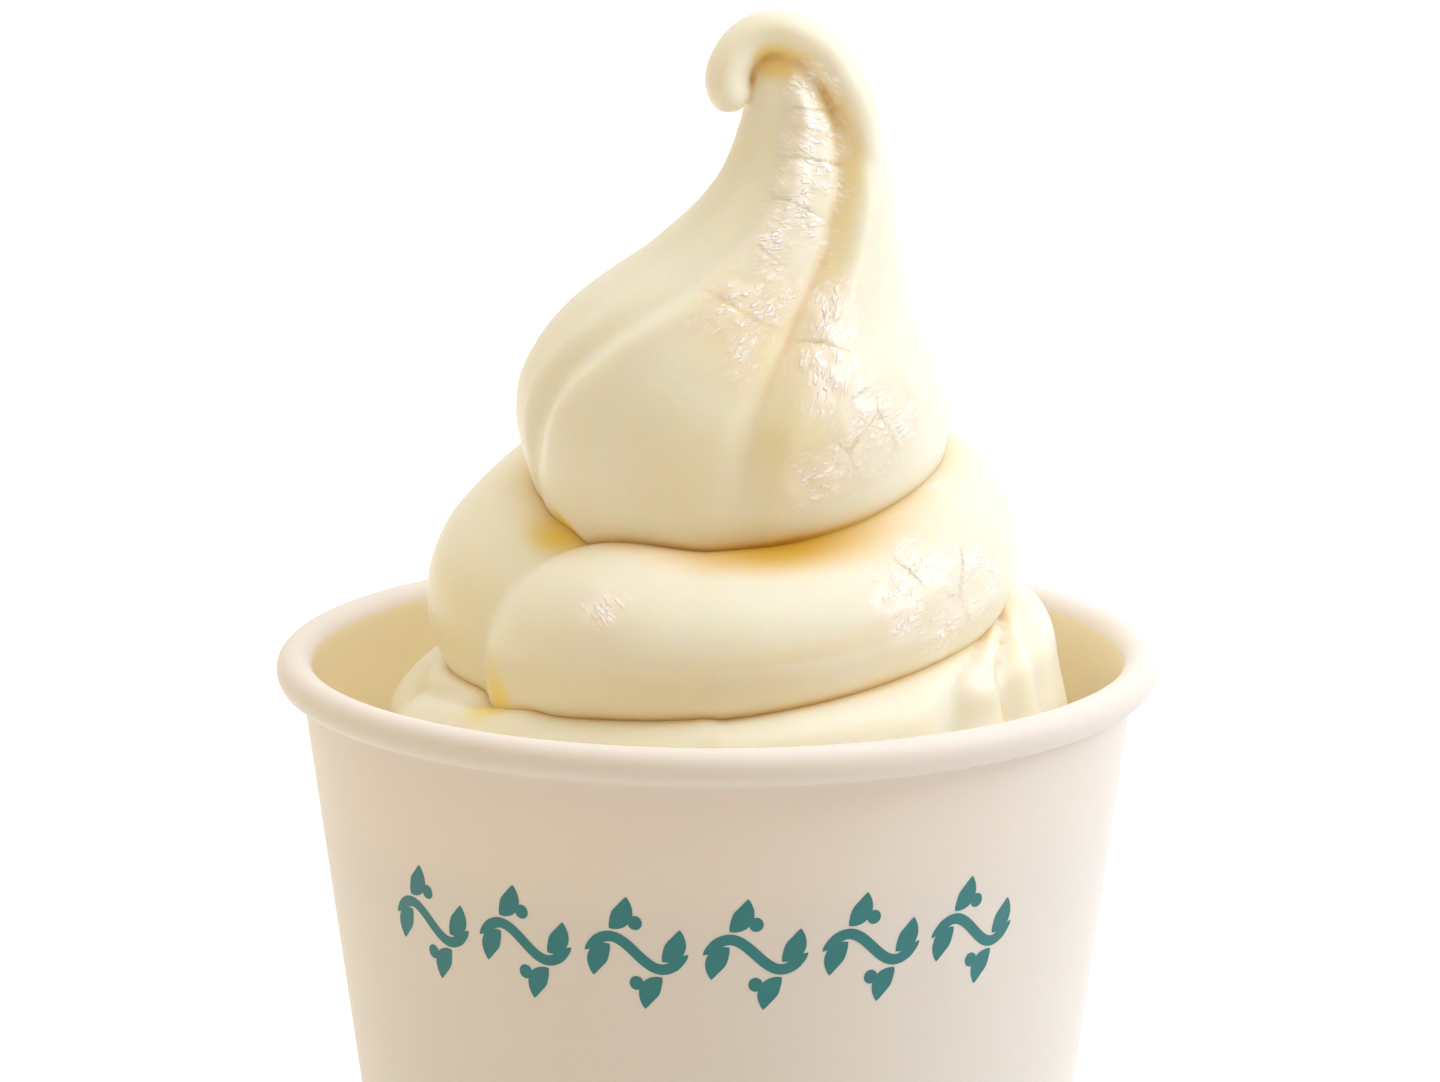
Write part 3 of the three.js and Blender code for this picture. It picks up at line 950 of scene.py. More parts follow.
def paperboard_material(settings):
    """Bleached cup board with a thin film on both sides: satin, off-white, with faint long fibres.
    Its inside is painted with a warm reflection of the ice cream."""
    material = new_material("coated_paperboard")
    tree = material.node_tree
    place = add_node(tree, "ShaderNodeTexCoord").outputs["Object"]
    lining_reflection = add_node(tree, "ShaderNodeAttribute", {"attribute_name": "lining_reflection"}).outputs["Fac"]
    stretch = add_node(tree, "ShaderNodeMapping", inputs={
        "Vector": place, "Scale": (1.0, 1.0, 0.35)})
    fibres = add_node(tree, "ShaderNodeTexNoise", inputs={
        "Vector": stretch.outputs[0], "Scale": 1 / (0.7 * MM), "Detail": 4.0, "Roughness": 0.6})
    clouds = add_node(tree, "ShaderNodeTexNoise", inputs={
        "Vector": place, "Scale": 1 / (14 * MM), "Detail": 3.0})
    outside = add_node(tree, "ShaderNodeMix", {"data_type": "RGBA"}, {
        0: clouds.outputs["Fac"], 6: (*settings.paper, 1), 7: (*settings.paper_shade, 1)})
    # The inside takes the painted warm reflection of the ice cream.
    both = add_node(tree, "ShaderNodeMix", {"data_type": "RGBA"}, {
        0: lining_reflection, 6: outside.outputs[2], 7: (*settings.lining_reflection, 1)})
    rough = add_node(tree, "ShaderNodeMapRange", inputs={
        "Value": fibres.outputs["Fac"], "To Min": 0.42, "To Max": 0.56})
    relief = add_node(tree, "ShaderNodeBump", inputs={
        "Strength": 0.12, "Distance": 0.05 * MM, "Height": fibres.outputs["Fac"]})
    shader = add_node(tree, "ShaderNodeBsdfPrincipled", inputs={
        "Base Color": both.outputs[2],
        "Roughness": rough.outputs[0],
        "IOR": 1.5,
        "Subsurface Weight": 0.4,
        "Subsurface Radius": (1.0, 0.75, 0.45),
        "Subsurface Scale": 0.6 * MM,
        "Normal": relief.outputs["Normal"],
    })
    add_node(tree, "ShaderNodeOutputMaterial", inputs={"Surface": shader.outputs[0]})
    return material


def ink_material(settings):
    """Teal printing ink, laid down by a plate roller: a thin satin coat with a slight mottle."""
    material = new_material("teal_printing_ink")
    tree = material.node_tree
    place = add_node(tree, "ShaderNodeTexCoord").outputs["Object"]
    mottle = add_node(tree, "ShaderNodeTexNoise", inputs={
        "Vector": place, "Scale": 1 / (3 * MM), "Detail": 4.0})
    colour = add_node(tree, "ShaderNodeMix", {"data_type": "RGBA"}, {
        0: mottle.outputs["Fac"], 6: (*settings.ink, 1), 7: (*settings.ink_light, 1)})
    rough = add_node(tree, "ShaderNodeMapRange", inputs={
        "Value": mottle.outputs["Fac"], "To Min": 0.38, "To Max": 0.5})
    shader = add_node(tree, "ShaderNodeBsdfPrincipled", inputs={
        "Base Color": colour.outputs[2], "Roughness": rough.outputs[0], "IOR": 1.5})
    add_node(tree, "ShaderNodeOutputMaterial", inputs={"Surface": shader.outputs[0]})
    return material


def sweep_material(settings):
    """Matt white studio paper, lit so brightly from behind that it clips to white."""
    material = new_material("white_studio_paper")
    tree = material.node_tree
    place = add_node(tree, "ShaderNodeTexCoord").outputs["Object"]
    grain = add_node(tree, "ShaderNodeTexNoise", inputs={"Vector": place, "Scale": 1 / (2 * MM)})
    relief = add_node(tree, "ShaderNodeBump", inputs={
        "Strength": 0.05, "Distance": 0.05 * MM, "Height": grain.outputs["Fac"]})
    shader = add_node(tree, "ShaderNodeBsdfPrincipled", inputs={
        "Base Color": (*settings.sweep, 1),
        "Roughness": 0.9,
        "Emission Color": (1.0, 1.0, 1.0, 1.0),
        "Emission Strength": settings.sweep_glow,
        "Normal": relief.outputs["Normal"],
    })
    add_node(tree, "ShaderNodeOutputMaterial", inputs={"Surface": shader.outputs[0]})
    return material


# ======================= geometry node trees =======================


def geometry_tree(name, inputs):
    """A geometry node tree with a geometry in and out and the named inputs between."""
    tree = bpy.data.node_groups.new(name, "GeometryNodeTree")
    tree.interface.new_socket("Geometry", in_out="INPUT", socket_type="NodeSocketGeometry")
    for label, kind in inputs:
        tree.interface.new_socket(label, in_out="INPUT", socket_type=kind)
    tree.interface.new_socket("Geometry", in_out="OUTPUT", socket_type="NodeSocketGeometry")
    return tree, add_node(tree, "NodeGroupInput").outputs


def with_tree(obj, tree, values):
    """Runs a geometry node tree on an object with values for its named inputs."""
    modifier = obj.modifiers.new(tree.name, "NODES")
    modifier.node_group = tree
    for item in tree.interface.items_tree:
        if item.in_out == "INPUT" and item.name in values:
            modifier[item.identifier] = values[item.name]
    return settled(obj)


def revolve_tree():
    """Sweeps an outline of radius and height once round the cup's axis."""
    tree, given = geometry_tree("revolved_outline", [
        ("Path Radius", "NodeSocketFloat"),
        ("Steps Around", "NodeSocketInt"),
        ("Finish", "NodeSocketMaterial"),
    ])
    path = add_node(tree, "GeometryNodeCurvePrimitiveCircle", inputs={
        "Resolution": given["Steps Around"], "Radius": given["Path Radius"]})
    outline = add_node(tree, "GeometryNodeMeshToCurve", inputs={"Mesh": given["Geometry"]})
    swept = add_node(tree, "GeometryNodeCurveToMesh", inputs={
        "Curve": path.outputs["Curve"], "Profile Curve": outline.outputs["Curve"]})
    closed = add_node(tree, "GeometryNodeMergeByDistance", inputs={
        "Geometry": swept.outputs["Mesh"], "Distance": 0.002 * MM})
    real = add_node(tree, "GeometryNodeRealizeInstances", inputs={
        "Geometry": closed.outputs["Geometry"]})
    coated = add_node(tree, "GeometryNodeSetMaterial", inputs={
        "Geometry": real.outputs["Geometry"], "Material": given["Finish"]})
    add_node(tree, "NodeGroupOutput", inputs={"Geometry": coated.outputs["Geometry"]})
    return tree


def revolved(name, outline, steps, tree, material):
    """A closed outline of radius and height pairs, in millimetres, turned about the cup's axis."""
    path_radius = 10.0
    mesh = bpy.data.meshes.new(name)
    rows = [((radius - path_radius) * MM, -height * MM, 0) for radius, height in outline]
    mesh.from_pydata(rows, [(i, (i + 1) % len(rows)) for i in range(len(rows))], [])
    obj = bpy.data.objects.new(name, mesh)
    bpy.context.scene.collection.objects.link(obj)
    with_tree(obj, tree, {
        "Path Radius": path_radius * MM, "Steps Around": steps, "Finish": material})
    outward(obj)
    return obj


def border_tree():
    """Repeats a flat motif along a line, then wraps the row round the cup's tapered wall."""
    tree, given = geometry_tree("wrapped_border", [
        ("Count", "NodeSocketInt"),
        ("Pitch", "NodeSocketFloat"),
        ("Row Height", "NodeSocketFloat"),
        ("Centre Angle", "NodeSocketFloat"),
        ("Foot Radius", "NodeSocketFloat"),
        ("Radius Per Height", "NodeSocketFloat"),
        ("Middle Radius", "NodeSocketFloat"),
        ("Finish", "NodeSocketMaterial"),
    ])

    def sums(operation, first, second):
        return add_node(tree, "ShaderNodeMath", {"operation": operation}, {0: first, 1: second}).outputs[0]

    step = add_node(tree, "ShaderNodeCombineXYZ", inputs={"X": given["Pitch"]})
    last = sums("SUBTRACT", given["Count"], 1.0)
    half = sums("MULTIPLY", sums("MULTIPLY", last, given["Pitch"]), -0.5)
    start = add_node(tree, "ShaderNodeCombineXYZ", inputs={"X": half, "Y": given["Row Height"]})
    row = add_node(tree, "GeometryNodeMeshLine", inputs={
        "Count": given["Count"], "Start Location": start.outputs[0], "Offset": step.outputs[0]})
    copies = add_node(tree, "GeometryNodeInstanceOnPoints", inputs={
        "Points": row.outputs["Mesh"], "Instance": given["Geometry"]})
    real = add_node(tree, "GeometryNodeRealizeInstances", inputs={
        "Geometry": copies.outputs["Instances"]})
    at = add_node(tree, "ShaderNodeSeparateXYZ", inputs={
        0: add_node(tree, "GeometryNodeInputPosition").outputs[0]})
    angle = sums("ADD", sums("DIVIDE", at.outputs["X"], given["Middle Radius"]), given["Centre Angle"])
    lean = sums("MULTIPLY", at.outputs["Y"], given["Radius Per Height"])
    radius = sums("ADD", sums("ADD", given["Foot Radius"], lean), at.outputs["Z"])
    across = sums("MULTIPLY", radius, sums("SINE", angle, 0.0))
    depth = sums("MULTIPLY", sums("MULTIPLY", radius, sums("COSINE", angle, 0.0)), -1.0)
    wrapped = add_node(tree, "ShaderNodeCombineXYZ", inputs={"X": across, "Y": depth, "Z": at.outputs["Y"]})
    placed = add_node(tree, "GeometryNodeSetPosition", inputs={
        "Geometry": real.outputs["Geometry"], "Position": wrapped.outputs[0]})
    coated = add_node(tree, "GeometryNodeSetMaterial", inputs={
        "Geometry": placed.outputs["Geometry"], "Material": given["Finish"]})
    add_node(tree, "NodeGroupOutput", inputs={"Geometry": coated.outputs["Geometry"]})
    return tree


# ======================= the printed sprig =======================


def ribbon(line, half_widths):
    """A thin flat solid along a line of x and y pairs, with a half width at each."""
    line = np.asarray(line, float)
    along = unit(np.gradient(line, axis=0))
    side = np.stack([-along[:, 1], along[:, 0]], axis=1) * np.asarray(half_widths)[:, None]
    corners = []
    for edge, lift in ((side, -INK_PROUD), (-side, -INK_PROUD), (-side, INK_PROUD), (side, INK_PROUD)):
        corners.append(np.column_stack([line + edge, np.full(len(line), lift)]))
    return tube_mesh(np.stack(corners, axis=1))


def sprig(stroke):
    """Points and faces of one sprig: a wavy stem with four leaves and two berries."""
    share = np.linspace(0, 1, 41)
    stem = np.column_stack([(share - 0.5) * SPRIG_LENGTH, SPRIG_WAVE * np.sin(2 * math.pi * share)])
    taper = np.sqrt(np.clip(np.minimum(share, 1 - share) / 0.12, 0.002, 1))
    forms = [ribbon(stem, 0.5 * stroke * taper)]
    step = np.linspace(0, 1, 17)
    width = LEAF_HALF_WIDTH * np.sin(math.pi * step) ** 0.8 * (1.15 - 0.3 * step) + 0.01
    crest = np.array([-SPRIG_LENGTH / 4, SPRIG_WAVE])
    clear = 0.5 * stroke + LEAF_GAP
    for turn in (1, -1):
        for lean, rise in ((62, 1), (-118, -1)):
            heading = math.radians(lean)
            ahead = np.array([math.cos(heading), math.sin(heading)])
            bend = np.array([-ahead[1], ahead[0]]) * -0.5
            base = crest + [0, rise * clear]
            leaf = base + step[:, None] * ahead * LEAF_LENGTH + np.sin(math.pi * step)[:, None] * bend
            forms.append(ribbon(turn * leaf, width))
        disc = np.linspace(-1, 1, 17)
        berry = np.column_stack([disc * BERRY_RADIUS, np.full(17, turn * BERRY_HEIGHT)])
        forms.append(ribbon(berry, BERRY_RADIUS * np.sqrt(1 - disc**2) + 0.01))
    return merged_forms(forms)


# ======================= settings =======================


class SwirlSettings(bpy.types.PropertyGroup):
    """What a user would change of the ice cream."""

    grain_size: FloatProperty(
        name="Grain Size",
        description="Edge length of the tier's mesh; the coils' is up to half as long again",
        default=0.32 * MM, min=0.3 * MM, subtype="DISTANCE", unit="LENGTH")
    glow_depth: FloatProperty(
        name="Glow Depth", description="How far light spreads inside the ice cream",
        default=1.4 * MM, min=0, subtype="DISTANCE", unit="LENGTH")
    frost_relief: FloatProperty(
        name="Frost Relief", description="Height of the icy grain in the frosty patches",
        default=0.24 * MM, min=0, subtype="DISTANCE", unit="LENGTH")
    cream: FloatVectorProperty(
        name="Cream", description="Colour of the ice cream",
        default=linear("#FFF8EC"), min=0, max=1, subtype="COLOR")
    cream_shade: FloatVectorProperty(
        name="Cream Shade", description="Second colour of its faint clouds",
        default=linear("#FCF2DC"), min=0, max=1, subtype="COLOR")
    # Painted shade deep in the creases.
    crease_shade_colour: FloatVectorProperty(
        name="Crease Colour", description="Colour deep in the creases",
        default=linear("#F9E09A"), min=0, max=1, subtype="COLOR")
    # Painted shade where two coils touch, and the painted shadow below the tier.
    seam_shade_colour: FloatVectorProperty(
        name="Seam Colour", description="Colour where two coils touch",
        default=linear("#DAAE3C"), min=0, max=1, subtype="COLOR")
    # Partly painted shade: the ground between the frost's grains.
    hoar_shade_colour: FloatVectorProperty(
        name="Hoar Colour", description="Colour between the icy grains of the frosty patches",
        default=linear("#EAD9AC"), min=0, max=1, subtype="COLOR")
    # Painted warm shade in the deepest pockets.
    pocket_shade_colour: FloatVectorProperty(
        name="Honey Colour", description="Colour in the deepest pockets",
        default=linear("#FFE67A"), min=0, max=1, subtype="COLOR")


class CupSettings(bpy.types.PropertyGroup):
    """What a user would change of the paper cup."""

    steps_around: IntProperty(
        name="Steps Around", description="Sides of the wall's outline seen from above",
        default=256, min=48)
    seam_angle: FloatProperty(
        name="Seam Angle", description="Where the side seam stands, from the front towards the right",
        default=math.radians(112), subtype="ANGLE")
    seam_width: FloatProperty(
        name="Seam Width", description="Overlap of the wall at its side seam",
        default=8 * MM, subtype="DISTANCE", unit="LENGTH")
    paper: FloatVectorProperty(
        name="Paper", description="Colour of the cup board",
        default=linear("#F4EFEB"), min=0, max=1, subtype="COLOR")
    paper_shade: FloatVectorProperty(
        name="Paper Shade", description="Second colour of its faint clouds",
        default=linear("#F1EBE6"), min=0, max=1, subtype="COLOR")
    # Painted warm reflection of the ice cream on the inside of the wall.
    lining_reflection: FloatVectorProperty(
        name="Lining", description="Colour of the inside of the wall",
        default=linear("#FFF2D2"), min=0, max=1, subtype="COLOR")


class BorderSettings(bpy.types.PropertyGroup):
    """What a user would change of the printed border."""

    motifs: IntProperty(
        name="Sprigs", description="Sprigs in each printed row", default=6, min=1)
    pitch: FloatProperty(
        name="Pitch", description="Distance between sprigs along the wall",
        default=12.3 * MM, subtype="DISTANCE", unit="LENGTH")
    stroke: FloatProperty(
        name="Stroke", description="Width of the sprigs' stems",
        default=1.15 * MM, subtype="DISTANCE", unit="LENGTH")
    row_height: FloatProperty(
        name="Row Height", description="Height of the middle of the row above the table",
        default=37.5 * MM, subtype="DISTANCE", unit="LENGTH")
    front_angle: FloatProperty(
        name="Front Angle",
        description="Where the front row's middle stands, from the front towards the right",
        default=math.radians(-3), subtype="ANGLE")
    ink: FloatVectorProperty(
        name="Ink", description="Colour of the printing ink",
        default=linear("#0A6B70"), min=0, max=1, subtype="COLOR")
    ink_light: FloatVectorProperty(
        name="Ink Mottle", description="Lighter colour of the ink's mottle",
        default=linear("#148085"), min=0, max=1, subtype="COLOR")


class StudioSettings(bpy.types.PropertyGroup):
    """What a user would change of the studio."""

    key_power: FloatProperty(
        name="Key Power", description="Power of the light on the right",
        default=1.0, subtype="POWER", unit="POWER")
    top_power: FloatProperty(
        name="Top Power", description="Power of the light overhead",
        default=0.85, subtype="POWER", unit="POWER")
    ambient: FloatProperty(
        name="Ambient", description="Strength of the light from all round", default=1.0)
    sweep_glow: FloatProperty(
        name="Sweep Glow", description="How far the floor glows by itself", default=0.6)
    sweep: FloatVectorProperty(
        name="Sweep", description="Colour of the floor",
        default=linear("#F4F4F4"), min=0, max=1, subtype="COLOR")


# ======================= operators =======================


def finished(obj, slot_name, *nodes):
    """Hands a finished piece to the frame."""
    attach(obj, BODY)
    if nodes:
        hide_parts(*nodes)
    return obj


class ICECREAM_OT_add_swirl(bpy.types.Operator):
    """Add the ice cream: two coils, the grooved tier and the curled tip, as one body"""

    bl_idname = "icecream.add_swirl"
    bl_label = "Add Ice Cream"

    def execute(self, context):
        settings = context.scene.soft_serve
        finish = soft_serve_material(settings)
        fine = settings.grain_size / MM
        coarse = 1.5 * fine
        halves = [middle_coil(0, MIDDLE_COIL_SPLIT), middle_coil(MIDDLE_COIL_SPLIT, 1)]
        core = tube_mesh(lathe_rings(fill_profile(SWIRL_FOOT), 180))
        pieces = [
            skinned("ice_cream_tier", fine, 0.4, [tier(), curl()]),
            skinned("ice_cream_middle_coil", 0.5 * (fine + coarse), 8.0, halves),
            skinned("ice_cream_lower_coil", coarse, 0.7, [core, lower_coil()]),
        ]
        for number, surface in enumerate(pieces):
            shade_contacts(surface, pieces[:number] + pieces[number + 1:])
        for surface in pieces:
            finish_surface(surface, settings)
            surface.mesh.materials.append(finish)
            smooth_shaded(surface.obj)
            finished(surface.obj, "vanilla_ice_cream", "ice_cream")
        low = lathe_rings([(wall_radius(FILL_LOW) - PAPER - GAP, FILL_LOW), fill_profile(SWIRL_FOOT)[0]], 96)
        body = mesh_object("ice_cream_fill", *tube_mesh(low))
        outward(body)
        smooth_shaded(body, 30)
        body.data.materials.append(finish)
        finished(body, "vanilla_ice_cream", "ice_cream")
        return {"FINISHED"}


def wall_outline():
    """Radius and height pairs round the wall's section: foot, outside, rolled rim, inside and hem."""
    centre = RIM_RADIUS - ROLL_RADIUS
    inner_top = centre - ROLL_RADIUS
    under = -math.acos((WALL_TOP_RADIUS - 0.1 - centre) / ROLL_RADIUS)
    outline = [(FOOT_RADIUS - HEM_THICKNESS, 0.35), (FOOT_RADIUS - HEM_THICKNESS + 0.3, 0.03)]
    outline += [(FOOT_RADIUS - 0.35, 0.0), (wall_radius(0.35), 0.35)]
    outline += [(wall_radius(height), height) for height in np.linspace(3, 54, 18)]
    outline += [(wall_radius(55.4), 55.4), (wall_radius(56.1), 56.1)]
    outline += [(centre + ROLL_RADIUS * math.cos(turn), RIM_PLANE + ROLL_RADIUS * math.sin(turn))
                for turn in np.linspace(under, math.pi, 40)]
    for height in np.linspace(RIM_PLANE - 1, HEM_HEIGHT + 1.5, 26):
        straight = wall_radius(height) - PAPER
        blend = float(smooth_step(48, RIM_PLANE, height))
        outline.append((min(straight, straight + (inner_top - straight) * blend), height))
    hem = wall_radius(HEM_HEIGHT)
    outline += [(hem - PAPER, HEM_HEIGHT + 0.2), (hem - PAPER - 0.3, HEM_HEIGHT)]
    outline.append((hem - HEM_THICKNESS, HEM_HEIGHT - 0.1))
    return outline


def disc_outline():
    """Radius and height pairs round the bottom disc's section, a little thinner inside its rim."""
    edge = wall_radius(BOTTOM_LOW) - PAPER - GAP
    top = BOTTOM_LOW + BOTTOM_THICKNESS
    under = [(0, BOTTOM_LOW + 0.05), (edge - 4, BOTTOM_LOW + 0.05), (edge - 3, BOTTOM_LOW)]
    rim = [(edge - 0.15, BOTTOM_LOW), (edge, BOTTOM_LOW + 0.15), (edge, top - 0.15), (edge - 0.15, top)]
    over = [(edge - 3, top), (edge - 4, top - 0.05), (0, top - 0.05)]
    return under + rim + over


def lift_seam(mesh, settings):
    """Lifts the wall's outside by the overlap at its side seam, from the foot to under the roll."""
    points = positions(mesh)
    radius = np.hypot(points[:, 0], points[:, 1])
    off_seam = settings.seam_angle - np.arctan2(points[:, 0], -points[:, 1])
    from_edge = off_seam * radius / (settings.seam_width / MM)
    flap = np.where((from_edge >= 0) & (from_edge < 2), 1 - smooth_step(1, 2, from_edge), 0)
    below_roll = 1 - smooth_step(52, 56, points[:, 2])
    outer = radius > wall_radius(points[:, 2]) - 0.5 * PAPER
    lift = SEAM_STEP * flap * below_roll * smooth_step(0, 1, points[:, 2]) * outer
    points[:, :2] *= (1 + lift / radius.clip(1))[:, None]
    move_points(mesh, points)


def paint_lining_reflection(mesh):
    """Marks the wall's inside, from the hem to the top of the roll, for the painted reflection of the ice
    cream.
    """
    points = positions(mesh)
    radius, height = np.hypot(points[:, 0], points[:, 1]), points[:, 2]
    inside = radius < wall_radius(height) - 0.5 * PAPER
    paint(mesh, "lining_reflection", inside & (height > HEM_HEIGHT) & (height < RIM_PLANE + 0.4))


class ICECREAM_OT_add_cup(bpy.types.Operator):
    """Add the paper cup: its wall with the rolled rim and hem, its side seam and its bottom"""

    bl_idname = "icecream.add_cup"
    bl_label = "Add Paper Cup"

    def execute(self, context):
        settings = context.scene.paper_cup
        board = paperboard_material(settings)
        tree = revolve_tree()
        wall = revolved("cup_wall_board", wall_outline(), settings.steps_around, tree, board)
        lift_seam(wall.data, settings)
        paint_lining_reflection(wall.data)
        smooth_shaded(wall, 50)
        bottom = revolved("cup_bottom_disc", disc_outline(), 128, tree, board)
        paint(bottom.data, "lining_reflection", np.zeros(len(bottom.data.vertices)))
        smooth_shaded(bottom, 40)
        finished(wall, "cup_paper", "cup_wall")
        finished(bottom, "cup_paper", "cup_base")
        return {"FINISHED"}


class ICECREAM_OT_add_border(bpy.types.Operator):
    """Add the printed rows of leafy sprigs on the front and the back of the cup"""

    bl_idname = "icecream.add_border"
    bl_label = "Add Printed Border"

    def execute(self, context):
        settings = context.scene.printed_border
        ink = ink_material(settings)
        tree = border_tree()
        middle = settings.row_height / MM
        rows = []
        for number, centre_angle in enumerate((settings.front_angle, settings.front_angle + math.pi)):
            row = mesh_object(f"sprigs_{number}", *sprig(settings.stroke / MM))
            outward(row)
            with_tree(row, tree, {
                "Count": settings.motifs,
                "Pitch": settings.pitch,
                "Row Height": settings.row_height,
                "Centre Angle": centre_angle,
                "Foot Radius": FOOT_RADIUS * MM,
                "Radius Per Height": (WALL_TOP_RADIUS - FOOT_RADIUS) / RIM_PLANE,
                "Middle Radius": wall_radius(middle) * MM,
                "Finish": ink,
            })
            rows.append(row)
        border = joined("cup_printed_border", rows)
        outward(border)
        smooth_shaded(border, 30)
        finished(border, None)
        return {"FINISHED"}


def add_floor(settings):
    """The white floor, wide enough to fill every view."""
    corners = [(FLOOR_REACH * x, FLOOR_REACH * y, 0) for x, y in ((-1, -1), (1, -1), (1, 1), (-1, 1))]
    floor = mesh_object("studio_floor", corners, [(0, 1, 2, 3)])
    floor.data.materials.append(sweep_material(settings))
    floor.visible_diffuse = False


def add_light(name, place, size, power, tone):
    """A square soft light at a place in millimetres, turned to the ice cream."""
    lamp = bpy.data.lights.new(name, "AREA")
    lamp.shape = "SQUARE"
    lamp.size = size * MM
    lamp.energy = power
    lamp.color = linear(tone)
    holder = bpy.data.objects.new(name, lamp)
    holder.location = Vector(place) * MM
    aim = Vector((0, 0, LIGHT_AIM_HEIGHT * MM)) - holder.location
    holder.rotation_euler = aim.to_track_quat("-Z", "Y").to_euler()
    bpy.context.scene.collection.objects.link(holder)


def studio_air(settings):
    """Soft light from all round: dim and tan from the front, bright from behind, above and below, and
    warmer from the left. The camera sees plain white behind everything."""
    world = bpy.data.worlds.new("studio_air")
    world.use_nodes = True
    tree = world.node_tree
    tree.nodes.clear()
    ray = add_node(tree, "ShaderNodeSeparateXYZ", inputs={
        0: add_node(tree, "ShaderNodeTexCoord").outputs["Generated"]})
    upper = add_node(tree, "ShaderNodeMath", {"operation": "MULTIPLY"}, {0: ray.outputs["Z"], 1: 0.75})
    lower = add_node(tree, "ShaderNodeMath", {"operation": "MULTIPLY"}, {0: ray.outputs["Z"], 1: -2.0})
    steep = add_node(tree, "ShaderNodeMath", {"operation": "MAXIMUM"}, {
        0: upper.outputs[0], 1: lower.outputs[0]})
    lit_side = add_node(tree, "ShaderNodeMath", {"operation": "ADD"}, {
        0: steep.outputs[0], 1: ray.outputs["Y"]})
    back = add_node(tree, "ShaderNodeMapRange", {"interpolation_type": "SMOOTHSTEP"}, {
        "Value": lit_side.outputs[0], "From Min": -0.7, "From Max": 0.8})
    air = add_node(tree, "ShaderNodeMix", {"data_type": "RGBA"}, {
        0: back.outputs[0], 6: (*linear(AIR_FRONT), 1), 7: (1.0, 0.98, 0.94, 1)})
    side = add_node(tree, "ShaderNodeMapRange", inputs={
        "Value": ray.outputs["X"], "From Min": -1.0, "From Max": 0.3})
    tone = add_node(tree, "ShaderNodeMix", {"data_type": "RGBA"}, {
        0: side.outputs[0], 6: (*linear(AIR_LEFT), 1), 7: (1.0, 1.0, 1.0, 1)})
    air = add_node(tree, "ShaderNodeMix", {"data_type": "RGBA", "blend_type": "MULTIPLY"}, {
        0: 1.0, 6: air.outputs[2], 7: tone.outputs[2]})
    light = add_node(tree, "ShaderNodeBackground", inputs={
        "Color": air.outputs[2], "Strength": settings.ambient})
    white = add_node(tree, "ShaderNodeBackground", inputs={"Color": (1, 1, 1, 1), "Strength": 1.0})
    seen = add_node(tree, "ShaderNodeLightPath").outputs["Is Camera Ray"]
    mixed = add_node(tree, "ShaderNodeMixShader", inputs={
        0: seen, 1: light.outputs[0], 2: white.outputs[0]})
    add_node(tree, "ShaderNodeOutputWorld", inputs={"Surface": mixed.outputs[0]})
    return world


def photo_camera():
    """The camera at the photograph's viewing angle, aimed so that the rim falls where it does there."""
    lens = bpy.data.cameras.new("photo_camera")
    lens.sensor_width = SENSOR_WIDTH
    lens.lens = PHOTO_FOCAL / PHOTO_WIDTH * SENSOR_WIDTH
    lens.clip_start = 10 * MM
    camera = bpy.data.objects.new("photo_camera", lens)
    bpy.context.scene.collection.objects.link(camera)
    elevation = math.radians(CAMERA_ELEVATION)
    camera.location = Vector((0, -CAMERA_DISTANCE * math.cos(elevation),
                              RIM_PLANE + CAMERA_DISTANCE * math.sin(elevation))) * MM
    centre_x, centre_y = RIM_CENTRE_IN_PHOTO
    pitch = math.atan((centre_y - PHOTO_HEIGHT / 2) / PHOTO_FOCAL)
    yaw = math.atan((PHOTO_WIDTH / 2 - centre_x) / PHOTO_FOCAL)
    camera.rotation_euler = (math.pi / 2 - elevation + pitch, 0, -yaw)
    return camera


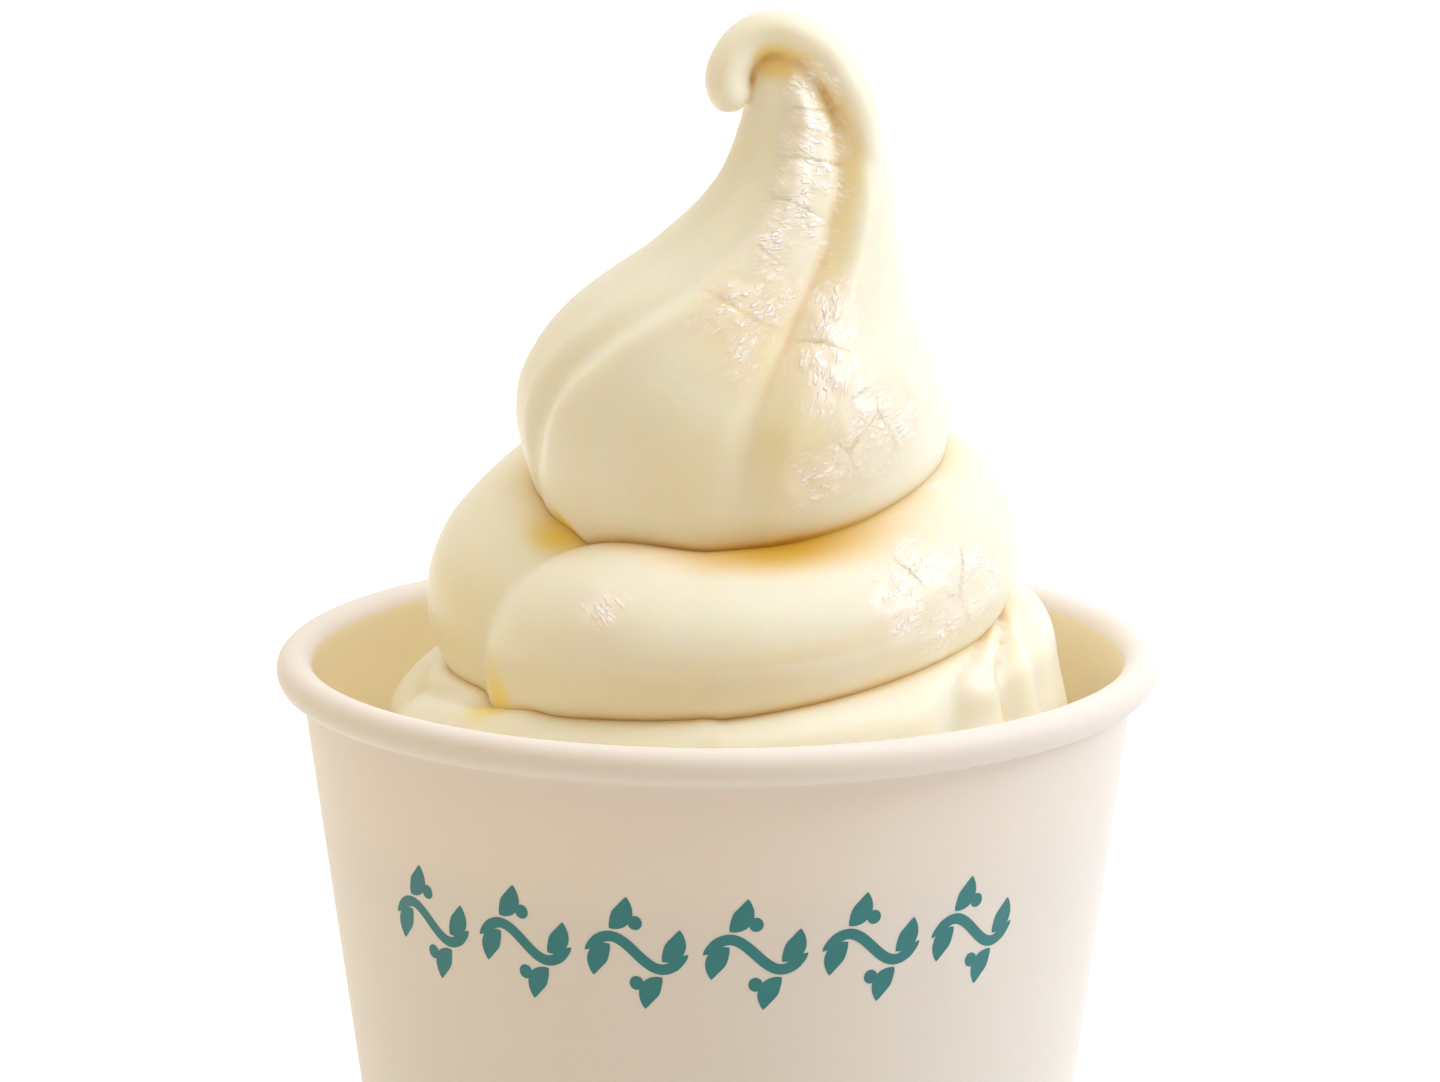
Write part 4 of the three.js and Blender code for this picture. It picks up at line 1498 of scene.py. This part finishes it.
class ICECREAM_OT_add_studio(bpy.types.Operator):
    """Add the white floor, the studio lights and the camera"""

    bl_idname = "icecream.add_studio"
    bl_label = "Add Studio"

    def execute(self, context):
        settings = context.scene.studio
        add_floor(settings)
        add_light("key_light", (480, -80, 400), 240, settings.key_power, "#E9F0FF")
        add_light("top_light", (190, -100, 660), 400, settings.top_power, "#F4F6FF")
        context.scene.world = studio_air(settings)
        context.scene.view_settings.view_transform = "Standard"
        context.scene.camera = photo_camera()
        return {"FINISHED"}


class ICECREAM_PT_sidebar(bpy.types.Panel):
    """Sidebar panel with a button and the settings for each part"""

    bl_idname = "ICECREAM_PT_sidebar"
    bl_label = "Soft Serve"
    bl_space_type = "VIEW_3D"
    bl_region_type = "UI"
    bl_category = "Soft Serve"

    def draw(self, context):
        scene = context.scene
        parts = [
            ("icecream.add_swirl", scene.soft_serve),
            ("icecream.add_cup", scene.paper_cup),
            ("icecream.add_border", scene.printed_border),
            ("icecream.add_studio", scene.studio),
        ]
        for operator, settings in parts:
            box = self.layout.box()
            box.operator(operator)
            for name in settings.__annotations__:
                box.prop(settings, name)


CLASSES = (
    SwirlSettings,
    CupSettings,
    BorderSettings,
    StudioSettings,
    ICECREAM_OT_add_swirl,
    ICECREAM_OT_add_cup,
    ICECREAM_OT_add_border,
    ICECREAM_OT_add_studio,
    ICECREAM_PT_sidebar,
)


def register():
    """Registers the classes and hangs their settings on the scene."""
    for cls in CLASSES:
        bpy.utils.register_class(cls)
    bpy.types.Scene.soft_serve = PointerProperty(type=SwirlSettings)
    bpy.types.Scene.paper_cup = PointerProperty(type=CupSettings)
    bpy.types.Scene.printed_border = PointerProperty(type=BorderSettings)
    bpy.types.Scene.studio = PointerProperty(type=StudioSettings)


def unregister():
    """Takes the settings and classes away again."""
    for name in ("soft_serve", "paper_cup", "printed_border", "studio"):
        delattr(bpy.types.Scene, name)
    for cls in reversed(CLASSES):
        bpy.utils.unregister_class(cls)


def main():
    """Builds everything."""
    register()
    bpy.ops.icecream.add_studio()
    bpy.ops.icecream.add_cup()
    bpy.ops.icecream.add_border()
    bpy.ops.icecream.add_swirl()


if __name__ == "__main__":
    main()
